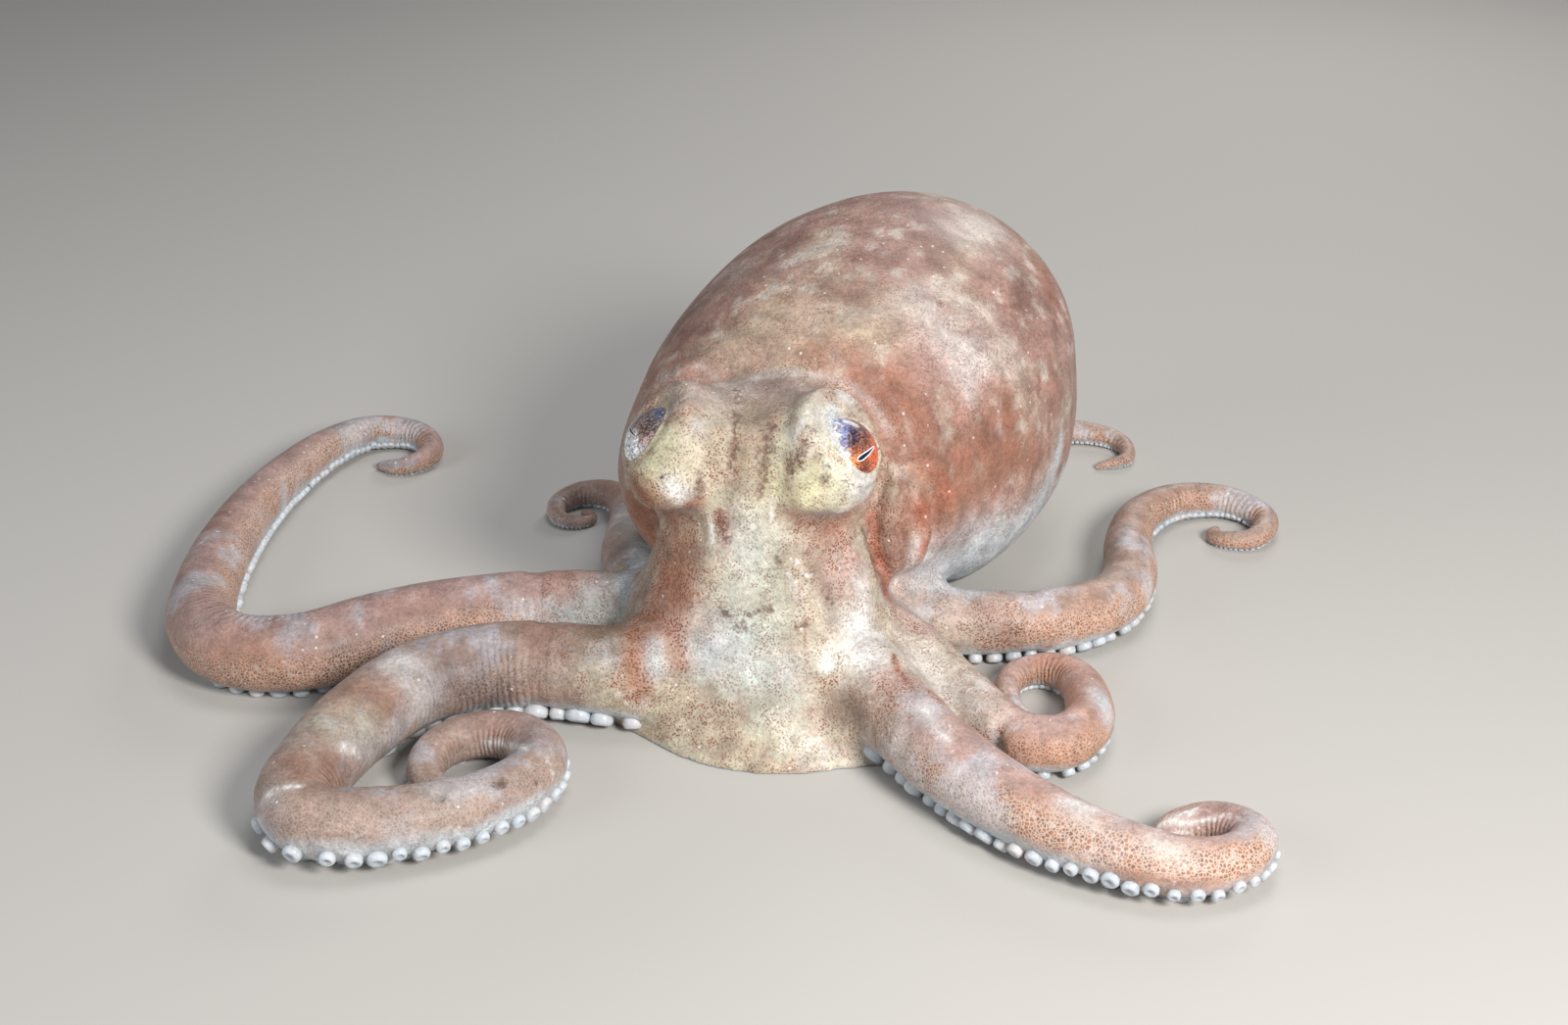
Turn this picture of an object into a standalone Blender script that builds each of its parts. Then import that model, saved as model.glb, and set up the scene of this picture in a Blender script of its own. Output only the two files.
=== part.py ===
"""A life-size southern octopus sitting on a flat floor, front to -Y.

Each sub-part is one closed solid: mantle, head, eyes, funnel, crown (the web with the
arms' roots) and eight arms, each divided into a few lengths. Sizes below are millimetres,
and every mesh is brought to metres when its object is made.
"""

import math

import bmesh
import bpy
import numpy as np
from mathutils import Matrix, Vector

MM = 0.001
GAP = 0.3
UP = Vector((0, 0, 1))

# Mantle: an egg-shaped bag that lies back and to the right, its closed end raised
# centre x, centre y, centre z, half width, half height
MANTLE_SECTIONS = (
    (-4.5, 8.0, 25.0, 19.5, 15.0),
    (-2.5, 14.5, 26.3, 23.6, 19.0),
    (2.5, 25.0, 28.3, 27.6, 23.2),
    (11.0, 41.0, 30.5, 30.8, 25.8),
    (19.0, 57.0, 33.0, 29.2, 25.0),
    (26.5, 71.0, 36.0, 21.5, 19.0),
    (31.0, 79.0, 38.0, 11.5, 10.5),
    (33.0, 82.5, 38.8, 3.5, 3.2),
)
MANTLE_SIDES = 24
MANTLE_RINGS = 15
MANTLE_RING_CROWDING = 0.075
MANTLE_LOOK = 0.02
# how much fuller than an ellipse the mantle's underside is, halfway down each side
MANTLE_BELLY = 0.16
BELLY_FULL = 0.3

# Head: a short column that leans back, turned a little to the animal's right
HEAD_YAW = math.radians(8)
HEAD_FLOOR = 17.0
# height, centre x, centre y, half width, half depth
HEAD_SECTIONS = (
    (17.0, -3.6, 3.0, 18.0, 14.8),
    (21.5, -3.1, 3.5, 16.2, 13.7),
    (27.0, -2.9, 4.4, 14.9, 13.0),
    (33.0, -3.6, 5.4, 15.0, 13.2),
    (39.0, -4.2, 6.4, 15.2, 13.4),
    (42.6, -4.4, 7.2, 13.6, 12.4),
    (45.4, -4.5, 8.0, 9.8, 9.6),
    (46.7, -4.5, 8.4, 4.6, 4.8),
)
HEAD_SIDES = 22

# Eye domes, each with a round eyeball sunk in its outer side and a lid round the eyeball
DOME_APART = 20.6
DOME_CENTRE = Vector((-4.4, 3.0, 36.6))
DOME_RADII = Vector((7.9, 10.2, 9.8))
EYE_TURN = math.radians(50)
EYE_RAISE = math.radians(38)
EYE_RADIUS = 5.8
EYE_OUT = 3.1
BALL_SIDES = 16
BALL_RINGS = 9
LID_RING = 4.9
LID_THICK = 1.1
LID_FORWARD = 3.2
LID_TALLER = 0.04
LID_STEPS = 16
LID_SIDES = 5

# Funnel: a short tapering tube at the animal's left, out of the mantle's front edge
FUNNEL_ROUTE = (
    Vector((9.5, 18.0, 27.5)),
    Vector((13.8, 12.6, 25.2)),
    Vector((16.6, 8.4, 21.6)),
    Vector((17.4, 5.8, 18.0)),
)
FUNNEL_RADII = (6.4, 5.6, 4.5, 3.3)
FUNNEL_WALL = 1.0
FUNNEL_SIDES = 14
FUNNEL_RINGS = 7
FUNNEL_LOOK = 0.05
# shares of the funnel's length: where its solid starts, where its bore starts and ends,
# and the stretch for which the mantle leaves room
FUNNEL_FROM = 0.05
BORE_FROM = 0.62
BORE_TO = 1.12
FUNNEL_PLACE = (-0.02, 1.02)

# Crown: the web, flaring from the head down to the floor, and the roots of the arms
CROWN_CENTRE = Vector((-0.5, 4.0))
CROWN_TOP = 17.0
WEB_REACH = 23.5
WEB_REACH_AT_ARM = 26.0
WEB_REACH_IN_FRONT = 2.5
WEB_ARM_WIDTH = 0.21
WEB_FLARE = 1.7
WEB_STRAIGHT = 0.35
WEB_BELOW_FLOOR = 1.0
WEB_RIM = 1.4
WEB_INSIDE = 6.0
WEB_ROOF = 1.3
WEB_ROOF_RISE = 0.3
WEB_ROOF_MIDDLE = 2.5
CROWN_SIDES = 36
CROWN_RINGS = 5
ROOT_LENGTH = 20.0
ROOT_HEIGHT = 8.0
ROOT_SWELL = 1.0
ROOT_SPARE = 3.0
CUT_SPARE = 0.8
STUB_LENGTH = 12.0
LIP_SIDES = 14
# height and radius of the mouth's lip, from inside the crown down and up into the mouth
LIP_LEVELS = ((6.0, 4.2), (1.6, 4.2), (0.5, 3.4), (0.5, 2.2), (2.4, 1.3))

# Arms: root radius, roll of the sucker side in degrees, taper power, and the route on the floor
ARMS = {
    "right_1": (7.2, 30.0, 0.45, (
        (-7, -1), (-19, -6.5), (-31, -3.8), (-42, -3.4), (-52, -8.0), (-59.0, -18.5), (-63, -29.5),
        (-64.5, -38), (-61, -43.5), (-52, -43), (-43, -39.5), (-36.3, -33.8), (-33.2, -25.8),
        (-36, -18.6), (-42.2, -16.4), (-47.8, -19.8), (-49, -26), (-46, -30.2), (-42, -28.5),
        (-42.6, -25),
    )),
    "right_2": (7.0, 22.0, 0.5, (
        (-9, 7.5), (-22, 12), (-36, 13.5), (-48, 12), (-59, 8.5), (-70, 2.5), (-80, 3.5), (-86.5, 12),
        (-88.5, 26), (-88.5, 41), (-87, 56), (-84, 70), (-79.5, 83), (-73, 91.5), (-64.5, 91),
        (-61.5, 84), (-66, 79.5), (-70.5, 82),
    )),
    "right_3": (6.4, 10.0, 0.9, (
        (-8, 12), (-16.5, 18.5), (-22, 27), (-24.5, 37), (-25, 47), (-25.5, 57), (-28.5, 65.5),
        (-34, 67.5), (-38.2, 63.5), (-36.6, 58.3), (-32.4, 58.6), (-31.6, 62), (-33.6, 63.2),
    )),
    "right_4": (4.8, 0.0, 0.6, (
        (-4, 14), (-8, 24.5), (-10.5, 36), (-11.5, 48), (-10, 60), (-6, 71), (0, 81), (8, 89),
        (17, 93), (25, 90.5), (26, 84.5), (21.5, 83),
    )),
    "left_1": (6.8, 32.0, 0.5, (
        (5, -1), (13.5, -12.5), (19, -23.5), (25.8, -34), (34, -43), (42.5, -49), (51, -52),
        (58, -49.5), (61, -43.5), (57, -38.5), (51, -39.5), (49.5, -44.5), (53, -46.5),
    )),
    "left_2": (5.8, 8.0, 0.6, (
        (8, 5), (17.5, 1), (23, -5.5), (26.5, -12.5), (31, -19), (37.5, -21), (42.3, -15), (43.4, -6.5),
        (42.2, 1), (37.8, 4.5), (33.4, 2.4), (32.2, -2.2), (33.6, -7), (36.6, -10),
    )),
    "left_3": (5.8, 12.0, 0.6, (
        (8, 10), (19, 13), (30, 13), (41, 15), (50, 21.5), (54, 31.5), (55, 43), (58, 54),
        (65, 62), (74, 63), (79.5, 56.5), (76, 50), (70, 52), (71.5, 56.5),
    )),
    "left_4": (4.8, 0.0, 0.6, (
        (3, 14), (7.5, 25), (12, 36), (16.5, 47), (22, 58), (28.5, 69), (35.5, 79), (43, 88), (51, 94),
        (59, 91), (60, 84), (54.5, 82),
    )),
}
ARM_TIP = 0.45
ARM_FLAT = 0.88
ARM_SIDES = 8
RING_STEP = 1.3
RING_STEP_THIN = 0.7
RING_STEP_IN_BEND = 1.1
TIP_NARROWING = 0.45
TIP_POINT = 0.3
ARM_LOOK = 0.6
ROLL_FROM = 30.0
ROLL_FULL = 65.0
# turn in degrees and length that one piece of an arm may have, and the fewest pieces
MOST_TURN = 119.0
LONGEST_PIECE = 77.5
FEWEST_PIECES = 3
SPLINE_STEP = 0.25
ROUTE_SMOOTHING = 60

# Suckers: two rows under each arm, out to the tip
SUCKER_FIRST = 7.0
SUCKER_SPACING = 1.82
SUCKER_SPLAY = 31.0
SUCKER_SPLAY_SPREAD = 3.0
SUCKER_RADIUS = 0.32
SUCKER_HEIGHT = 0.27
SUCKER_SUNK = 0.5
SUCKER_SIDES = 5
SUCKER_LEAST = 0.42
SUCKER_SIZES = (0.92, 1.06)
SUCKER_NECK = 0.66
SUCKER_HOLLOW = 0.32
SUCKER_HOLLOW_HEIGHT = 0.35
SUCKER_THIN_ARM = 1.2
SUCKER_SEED = 7
FLOOR_SINK = 0.25
FLOOR_BLOCK = 400.0
SHARP_EDGE = math.radians(50)

# Where the middle of the whole footprint lies, so that it becomes the origin
FOOTPRINT_MIDDLE = Vector((-6.1, 19.6, 0.0))


def clear_scene():
    for obj in list(bpy.data.objects):
        bpy.data.objects.remove(obj, do_unlink=True)


def material(name, colour, roughness):
    """A plain material with the part's own colour."""
    made = bpy.data.materials.new(name)
    made.use_nodes = True
    shader = made.node_tree.nodes["Principled BSDF"]
    shader.inputs["Base Color"].default_value = (*colour, 1.0)
    shader.inputs["Roughness"].default_value = roughness
    return made


def solid(name, bm, finish=None):
    """An object in metres from a mesh in millimetres."""
    bmesh.ops.recalc_face_normals(bm, faces=bm.faces)
    if bm.calc_volume(signed=True) < 0:
        bmesh.ops.reverse_faces(bm, faces=bm.faces)
    bmesh.ops.translate(bm, vec=-FOOTPRINT_MIDDLE, verts=bm.verts)
    bmesh.ops.scale(bm, vec=(MM, MM, MM), verts=bm.verts)
    mesh = bpy.data.meshes.new(name)
    bm.to_mesh(mesh)
    bm.free()
    obj = bpy.data.objects.new(name, mesh)
    bpy.context.scene.collection.objects.link(obj)
    if finish:
        mesh.materials.append(finish)
    return obj


def combine(obj, others, operation):
    """Joins the others to obj, or cuts them from it, and removes them."""
    group = bpy.data.collections.new(obj.name + "_operands")
    bpy.context.scene.collection.children.link(group)
    for other in others:
        bpy.context.scene.collection.objects.unlink(other)
        group.objects.link(other)
    step = obj.modifiers.new(operation, "BOOLEAN")
    step.operation = operation
    step.operand_type = "COLLECTION"
    step.collection = group
    step.solver = "EXACT"
    graph = bpy.context.evaluated_depsgraph_get()
    joined = bpy.data.meshes.new_from_object(obj.evaluated_get(graph))
    obj.modifiers.clear()
    obj.data = joined
    for other in others:
        bpy.data.objects.remove(other, do_unlink=True)
    bpy.data.collections.remove(group)
    keep_largest(obj)


def keep_largest(obj):
    """Keeps only the largest closed surface of a mesh."""
    bm = bmesh.new()
    bm.from_mesh(obj.data)
    bmesh.ops.triangulate(bm, faces=bm.faces)
    left = set(bm.faces)
    islands = []
    while left:
        stack = [left.pop()]
        island = list(stack)
        while stack:
            for edge in stack.pop().edges:
                for face in edge.link_faces:
                    if face in left:
                        left.remove(face)
                        stack.append(face)
                        island.append(face)
        islands.append(island)
    islands.sort(key=lambda faces: sum(face.calc_area() for face in faces))
    drop = [face for island in islands[:-1] for face in island]
    bmesh.ops.delete(bm, geom=drop, context="FACES")
    bm.to_mesh(obj.data)
    bm.free()


def floor_block():
    """Everything below the floor, as a cutter."""
    bm = bmesh.new()
    bmesh.ops.create_cube(bm, size=FLOOR_BLOCK)
    bmesh.ops.translate(bm, vec=(0, 0, -FLOOR_BLOCK / 2), verts=bm.verts)
    return solid("below_floor", bm)


def loft(rings):
    """A closed body through rings of points, each ring with the same number of points."""
    bm = bmesh.new()
    sides = len(rings[0])
    bmesh.ops.create_circle(bm, cap_ends=False, segments=sides, radius=1)
    bm.verts.ensure_lookup_table()
    ring = list(bm.verts)
    edges = list(bm.edges)
    first = ring
    for number, points in enumerate(rings):
        if number:
            made = bmesh.ops.extrude_edge_only(bm, edges=edges)["geom"]
            fresh = {item for item in made if isinstance(item, bmesh.types.BMVert)}
            edges = [
                item for item in made
                if isinstance(item, bmesh.types.BMEdge) and set(item.verts) <= fresh
            ]
            ring = [
                next(edge.other_vert(vert) for edge in vert.link_edges if edge.other_vert(vert) in fresh)
                for vert in ring
            ]
        for vert, point in zip(ring, points):
            vert.co = point
    bm.faces.new(first)
    bm.faces.new(list(reversed(ring)))
    return bm


def ellipse(centre, across, along, half_across, half_along, sides):
    """Points round an ellipse that spans two directions."""
    return [
        centre
        + across * (half_across * math.cos(turn))
        + along * (half_along * math.sin(turn))
        for turn in (2 * math.pi * n / sides for n in range(sides))
    ]


def smooth_route(corners):
    """Points about SPLINE_STEP apart on a smooth curve through the corners."""
    corner = np.array(corners, float)
    padded = np.vstack([2 * corner[0] - corner[1], corner, 2 * corner[-1] - corner[-2]])
    route = []
    for a, b, c, d in zip(padded, padded[1:], padded[2:], padded[3:]):
        count = max(2, int(np.linalg.norm(c - b) / SPLINE_STEP))
        for t in np.arange(count) / count:
            route.append(
                0.5 * (2 * b + (c - a) * t + (2 * a - 5 * b + 4 * c - d) * t**2
                       + (3 * b - a - 3 * c + d) * t**3)
            )
    route.append(corner[-1])
    route = np.array(route)
    for _ in range(ROUTE_SMOOTHING):
        route[1:-1] = (route[:-2] + 2 * route[1:-1] + route[2:]) / 4
    return route


def ease(value, low, high):
    """0 below low, 1 above high, and a smooth step between."""
    share = min(1.0, max(0.0, (value - low) / (high - low)))
    return share * share * (3 - 2 * share)


class Arm:
    """One arm: its route, its radius along the route, and what grows at each station."""

    def __init__(self, root_radius, roll, taper, corners):
        self.root_radius = root_radius
        self.taper = taper
        self.roll = math.radians(roll)
        self.plan = smooth_route(corners)
        steps = np.linalg.norm(np.diff(self.plan, axis=0), axis=1)
        self.at = np.concatenate([[0], np.cumsum(steps)])
        self.length = self.at[-1]
        heading = np.diff(self.plan, axis=0)
        angles = np.unwrap(np.arctan2(heading[:, 1], heading[:, 0]))
        self.turned = np.concatenate([[0], np.cumsum(np.abs(np.diff(angles))), [0]])
        self.turned[-1] = self.turned[-2]

    def radius(self, station):
        share = max(0.0, 1 - station / self.length)
        swell = ROOT_SWELL * (1 - ease(station, 0, ROOT_LENGTH))
        return ARM_TIP + (self.root_radius - ARM_TIP) * share**self.taper + swell

    def centre(self, station):
        """The middle of the arm there; the arm comes down from the crown onto its suckers."""
        radius = self.radius(station)
        resting = radius * (ARM_FLAT + SUCKER_HEIGHT) - FLOOR_SINK * min(1, radius / 3)
        height = ROOT_HEIGHT + (resting - ROOT_HEIGHT) * ease(station, 0, ROOT_LENGTH)
        x, y = (np.interp(station, self.at, self.plan[:, axis]) for axis in (0, 1))
        return Vector((x, y, height))

    def frame(self, station):
        """Forward, sideways and oral directions at a station."""
        ahead = self.centre(min(station + ARM_LOOK, self.length))
        behind = self.centre(max(station - ARM_LOOK, 0))
        forward = (ahead - behind).normalized()
        side = forward.cross(UP).normalized()
        turn = Matrix.Rotation(-self.roll * ease(station, ROLL_FROM, ROLL_FULL), 3, forward)
        oral = side.cross(forward)
        if oral.z > 0:
            oral = -oral
        return forward, turn @ side, turn @ oral

    def ring(self, station, grow=0.0, ahead=0.0):
        """A rounded section, flatter on the sucker side, moved ahead by a given distance."""
        forward, side, oral = self.frame(station)
        radius = self.radius(station) + grow
        centre = self.centre(station) + forward * ahead
        points = []
        for n in range(ARM_SIDES):
            turn = 2 * math.pi * (n + 0.5) / ARM_SIDES
            depth = ARM_FLAT if math.cos(turn) > 0 else 1.0
            points.append(
                centre + side * (radius * math.sin(turn)) + oral * (radius * depth * math.cos(turn))
            )
        return points

    def stations(self, start, end):
        """Ring stations, closer together where the arm is thin or bends."""
        found = [start]
        while found[-1] < end:
            here = found[-1]
            step = RING_STEP * max(RING_STEP_THIN, self.radius(here))
            turned = np.interp([here, here + step], self.at, self.turned)
            step /= 1 + RING_STEP_IN_BEND * (turned[1] - turned[0])
            found.append(here + step)
        if len(found) > 2 and found[-1] - end > 0.5 * (found[-1] - found[-2]):
            found.pop()
        found[-1] = end
        return found

    def tube(self, start, end, grow=0.0):
        found = self.stations(start, end)
        gap = GAP / 2 - grow
        rings = [self.ring(start, grow, gap if start > 0 else 0)]
        rings += [self.ring(station, grow) for station in found[1:-1]]
        rings.append(self.ring(end, grow, 0 if end >= self.length else -gap))
        if end >= self.length:
            forward = self.frame(end)[0]
            middle = self.centre(end)
            rings.append([
                middle + (point - middle) * TIP_NARROWING + forward * TIP_POINT for point in rings[-1]
            ])
        return loft(rings)

    def stub_cutter(self):
        """The room for the arm's first length, which also cuts its root off square."""
        found = self.stations(ROOT_LENGTH, ROOT_LENGTH + STUB_LENGTH)
        rings = [self.ring(ROOT_LENGTH, CUT_SPARE, -GAP / 2)]
        return loft(rings + [self.ring(station, CUT_SPARE) for station in found[1:]])

    def cuts(self):
        """Stations that divide the arm, so that no piece is long or bends round far."""
        found = [ROOT_LENGTH]
        spent = np.degrees(self.turned) / MOST_TURN + self.at / LONGEST_PIECE
        first = np.interp(ROOT_LENGTH, self.at, spent)
        pieces = max(FEWEST_PIECES, math.ceil(spent[-1] - first))
        for n in range(1, pieces):
            found.append(float(np.interp(first + (spent[-1] - first) * n / pieces, spent, self.at)))
        found.append(self.length)
        return found

    def sucker_places(self):
        """Station, splay and size of every sucker in two rows, spaced by the arm's thickness."""
        chance = np.random.default_rng(SUCKER_SEED)
        fine = np.arange(SUCKER_FIRST, self.length - SUCKER_THIN_ARM, SPLINE_STEP)
        spent = np.cumsum([SPLINE_STEP / max(SUCKER_THIN_ARM, self.radius(s)) for s in fine])
        count = int(spent[-1] / SUCKER_SPACING)
        places = []
        for number, value in enumerate(np.linspace(spent[0], spent[-1], count)):
            splay = SUCKER_SPLAY + chance.uniform(-SUCKER_SPLAY_SPREAD, SUCKER_SPLAY_SPREAD)
            station = float(np.interp(value, spent, fine))
            places.append((station, splay if number % 2 else -splay, chance.uniform(*SUCKER_SIZES)))
        return places

    def sucker_room(self, station):
        """How far from a cut a sucker's middle stays."""
        return self.radius(station) * SUCKER_RADIUS + GAP

    def sucker(self, station, splay, size):
        """A cup of few sides: narrow where it roots in the arm, a wide rim and a hollow face."""
        forward, side, oral = self.frame(station)
        out = (Matrix.Rotation(math.radians(splay), 3, forward) @ oral).normalized()
        across = forward.cross(out).normalized()
        radius = self.radius(station)
        size = max(SUCKER_LEAST, SUCKER_RADIUS * radius * size)
        skin = self.centre(station) + out * (radius * ARM_FLAT)
        height = max(SUCKER_LEAST, SUCKER_HEIGHT * radius)
        levels = (
            (-SUCKER_SUNK * radius, SUCKER_NECK), (height, 1.0),
            (height * SUCKER_HOLLOW_HEIGHT, SUCKER_HOLLOW),
        )
        rings = [
            ellipse(skin + out * level, across, forward, size * wide, size * wide, SUCKER_SIDES)
            for level, wide in levels
        ]
        return loft(rings)


def mantle_section(share):
    """Centre, half width and half height of the mantle, between its sections."""
    rows = np.array(MANTLE_SECTIONS)
    apart = np.linalg.norm(np.diff(rows[:, :3], axis=0), axis=1)
    at = np.concatenate([[0], np.cumsum(apart)])
    at /= at[-1]
    slopes = np.gradient(rows, at, axis=0)
    n = min(len(at) - 2, max(0, int(np.searchsorted(at, share, side="right")) - 1))
    span = at[n + 1] - at[n]
    t = (share - at[n]) / span
    row = (
        rows[n] * (2 * t**3 - 3 * t**2 + 1) + slopes[n] * span * (t**3 - 2 * t**2 + t)
        + rows[n + 1] * (3 * t**2 - 2 * t**3) + slopes[n + 1] * span * (t**3 - t**2)
    )
    return Vector(row[:3]), float(row[3]), float(row[4])


def mantle_body():
    rings = []
    for number in range(MANTLE_RINGS):
        share = number / (MANTLE_RINGS - 1)
        share -= MANTLE_RING_CROWDING * math.sin(2 * math.pi * share)
        centre, half_width, half_height = mantle_section(share)
        ahead = mantle_section(min(1.0, share + MANTLE_LOOK))[0]
        behind = mantle_section(max(0.0, share - MANTLE_LOOK))[0]
        along = (ahead - behind).normalized()
        side = along.cross(UP).normalized()
        ring = ellipse(centre, side, side.cross(along), half_width, half_height, MANTLE_SIDES)
        belly = MANTLE_BELLY * min(1.0, share / BELLY_FULL) ** 2
        for n in range(MANTLE_SIDES // 2, MANTLE_SIDES):
            fuller = belly * math.sin(4 * math.pi * n / MANTLE_SIDES) ** 2
            ring[n] = centre + (ring[n] - centre) * (1 + fuller)
        rings.append(ring)
    return loft(rings)


def head_directions():
    """Sideways (to the animal's left) and backward directions of the turned head."""
    turn = Matrix.Rotation(-HEAD_YAW, 3, "Z")
    return turn @ Vector((1, 0, 0)), turn @ Vector((0, 1, 0))


def head_core(grow=0.0):
    side, back = head_directions()
    rings = []
    for height, x, y, half_width, half_depth in HEAD_SECTIONS:
        level = height + GAP / 2 - grow if height == HEAD_FLOOR else height + grow
        rings.append(ellipse(
            Vector((x, y, level)), side, back, half_width + grow, half_depth + grow, HEAD_SIDES
        ))
    return loft(rings)


def eye_frame(sign):
    """Dome centre and eye axis, for sign 1 on the animal's left and -1 on its right."""
    side, back = head_directions()
    dome = DOME_CENTRE + side * (sign * DOME_APART / 2)
    level = side * (sign * math.sin(EYE_TURN)) - back * math.cos(EYE_TURN)
    return dome, level * math.cos(EYE_RAISE) + UP * math.sin(EYE_RAISE)


def ball(centre, radii, grow):
    """An ellipsoid whose axes follow the head."""
    side, back = head_directions()
    bm = bmesh.new()
    bmesh.ops.create_uvsphere(bm, u_segments=BALL_SIDES, v_segments=BALL_RINGS, radius=1)
    for vert in bm.verts:
        x, y, z = vert.co
        vert.co = (
            centre + side * (x * (radii.x + grow)) + back * (y * (radii.y + grow))
            + UP * (z * (radii.z + grow))
        )
    return bm


def eye_dome(sign, grow=0.0):
    return ball(eye_frame(sign)[0], DOME_RADII, grow)


def eyeball(sign, grow=0.0):
    dome, axis = eye_frame(sign)
    return ball(dome + axis * EYE_OUT, Vector([EYE_RADIUS] * 3), grow)


def lid(sign):
    """The ring of skin round the eyeball."""
    dome, axis = eye_frame(sign)
    across = axis.cross(UP).normalized()
    upright = across.cross(axis)
    bm = bmesh.new()
    centre = dome + axis * (EYE_OUT + LID_FORWARD)
    section = ellipse(centre + across * LID_RING, across, axis, LID_THICK, LID_THICK, LID_SIDES)
    profile = [bm.verts.new(point) for point in section]
    edges = [bm.edges.new(ends) for ends in zip(profile, profile[1:] + profile[:1])]
    bmesh.ops.spin(
        bm, geom=profile + edges, cent=centre, axis=axis, angle=2 * math.pi, steps=LID_STEPS,
        use_merge=True,
    )
    bmesh.ops.remove_doubles(bm, verts=bm.verts, dist=0.01)
    for vert in bm.verts:
        vert.co += upright * ((vert.co - centre).dot(upright) * LID_TALLER)
    return bm


def funnel_rings(radii, grow, first, last):
    """Rings round the funnel's own bent middle line."""
    route = smooth_route([tuple(point) for point in FUNNEL_ROUTE])
    shares = np.linspace(0, 1, len(route))
    rings = []
    for share in np.linspace(first, last, FUNNEL_RINGS):
        here = Vector([np.interp(share, shares, route[:, axis]) for axis in range(3)])
        ahead = Vector([np.interp(share + FUNNEL_LOOK, shares, route[:, axis]) for axis in range(3)])
        behind = Vector([np.interp(share - FUNNEL_LOOK, shares, route[:, axis]) for axis in range(3)])
        along = (ahead - behind).normalized()
        side = along.cross(UP).normalized()
        radius = float(np.interp(share, np.linspace(0, 1, len(radii)), radii)) + grow
        rings.append(ellipse(here, side, side.cross(along), radius, radius, FUNNEL_SIDES))
    return rings


def web_reach(turn, headings):
    """How far the web's rim reaches in a direction: far along an arm, less between two arms."""
    nearest = min(abs((turn - heading + math.pi) % (2 * math.pi) - math.pi) for heading in headings)
    along = math.exp(-((nearest / WEB_ARM_WIDTH) ** 2))
    in_front = max(0.0, -math.sin(turn))
    return WEB_REACH + WEB_REACH_IN_FRONT * in_front + (WEB_REACH_AT_ARM - WEB_REACH) * along


def web_body(headings, grow=0.0):
    """The flaring skirt, with a thin rim on the floor and a low roof inside."""
    _, x, y, half_width, half_depth = HEAD_SECTIONS[0]
    turns = [2 * math.pi * n / CROWN_SIDES for n in range(CROWN_SIDES)]
    top_centre = Vector((x, y))
    rings = []
    for number in range(CROWN_RINGS + 1):
        share = number / CROWN_RINGS
        flare = WEB_STRAIGHT * share + (1 - WEB_STRAIGHT) * share**WEB_FLARE
        centre = top_centre.lerp(CROWN_CENTRE, share)
        height = CROWN_TOP - GAP / 2 + grow - share * (CROWN_TOP + WEB_BELOW_FLOOR)
        ring = []
        for turn in turns:
            out = Vector((math.cos(turn), math.sin(turn)))
            head_turn = turn + HEAD_YAW
            at_top = 1 / math.hypot(math.cos(head_turn) / half_width, math.sin(head_turn) / half_depth)
            reach = at_top + (web_reach(turn, headings) - at_top) * flare + grow
            ring.append(Vector((*(centre + out * reach), height)))
        rings.append(ring)
    underside = (
        (WEB_RIM, -WEB_BELOW_FLOOR), (WEB_INSIDE, WEB_ROOF),
        (WEB_REACH - WEB_ROOF_MIDDLE, WEB_ROOF + WEB_ROOF_RISE),
    )
    for inset, height in underside:
        rings.append([
            Vector((*(CROWN_CENTRE + Vector((math.cos(turn), math.sin(turn)))
                      * (web_reach(turn, headings) - inset)), height))
            for turn in turns
        ])
    return loft(rings)


def lip():
    """The round lip of the mouth, in the middle of the underside."""
    centre = Vector((*CROWN_CENTRE, 0))
    x = Vector((1, 0, 0))
    y = Vector((0, 1, 0))
    return loft([
        ellipse(centre + UP * level, x, y, wide, wide, LIP_SIDES) for level, wide in LIP_LEVELS
    ])


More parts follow.
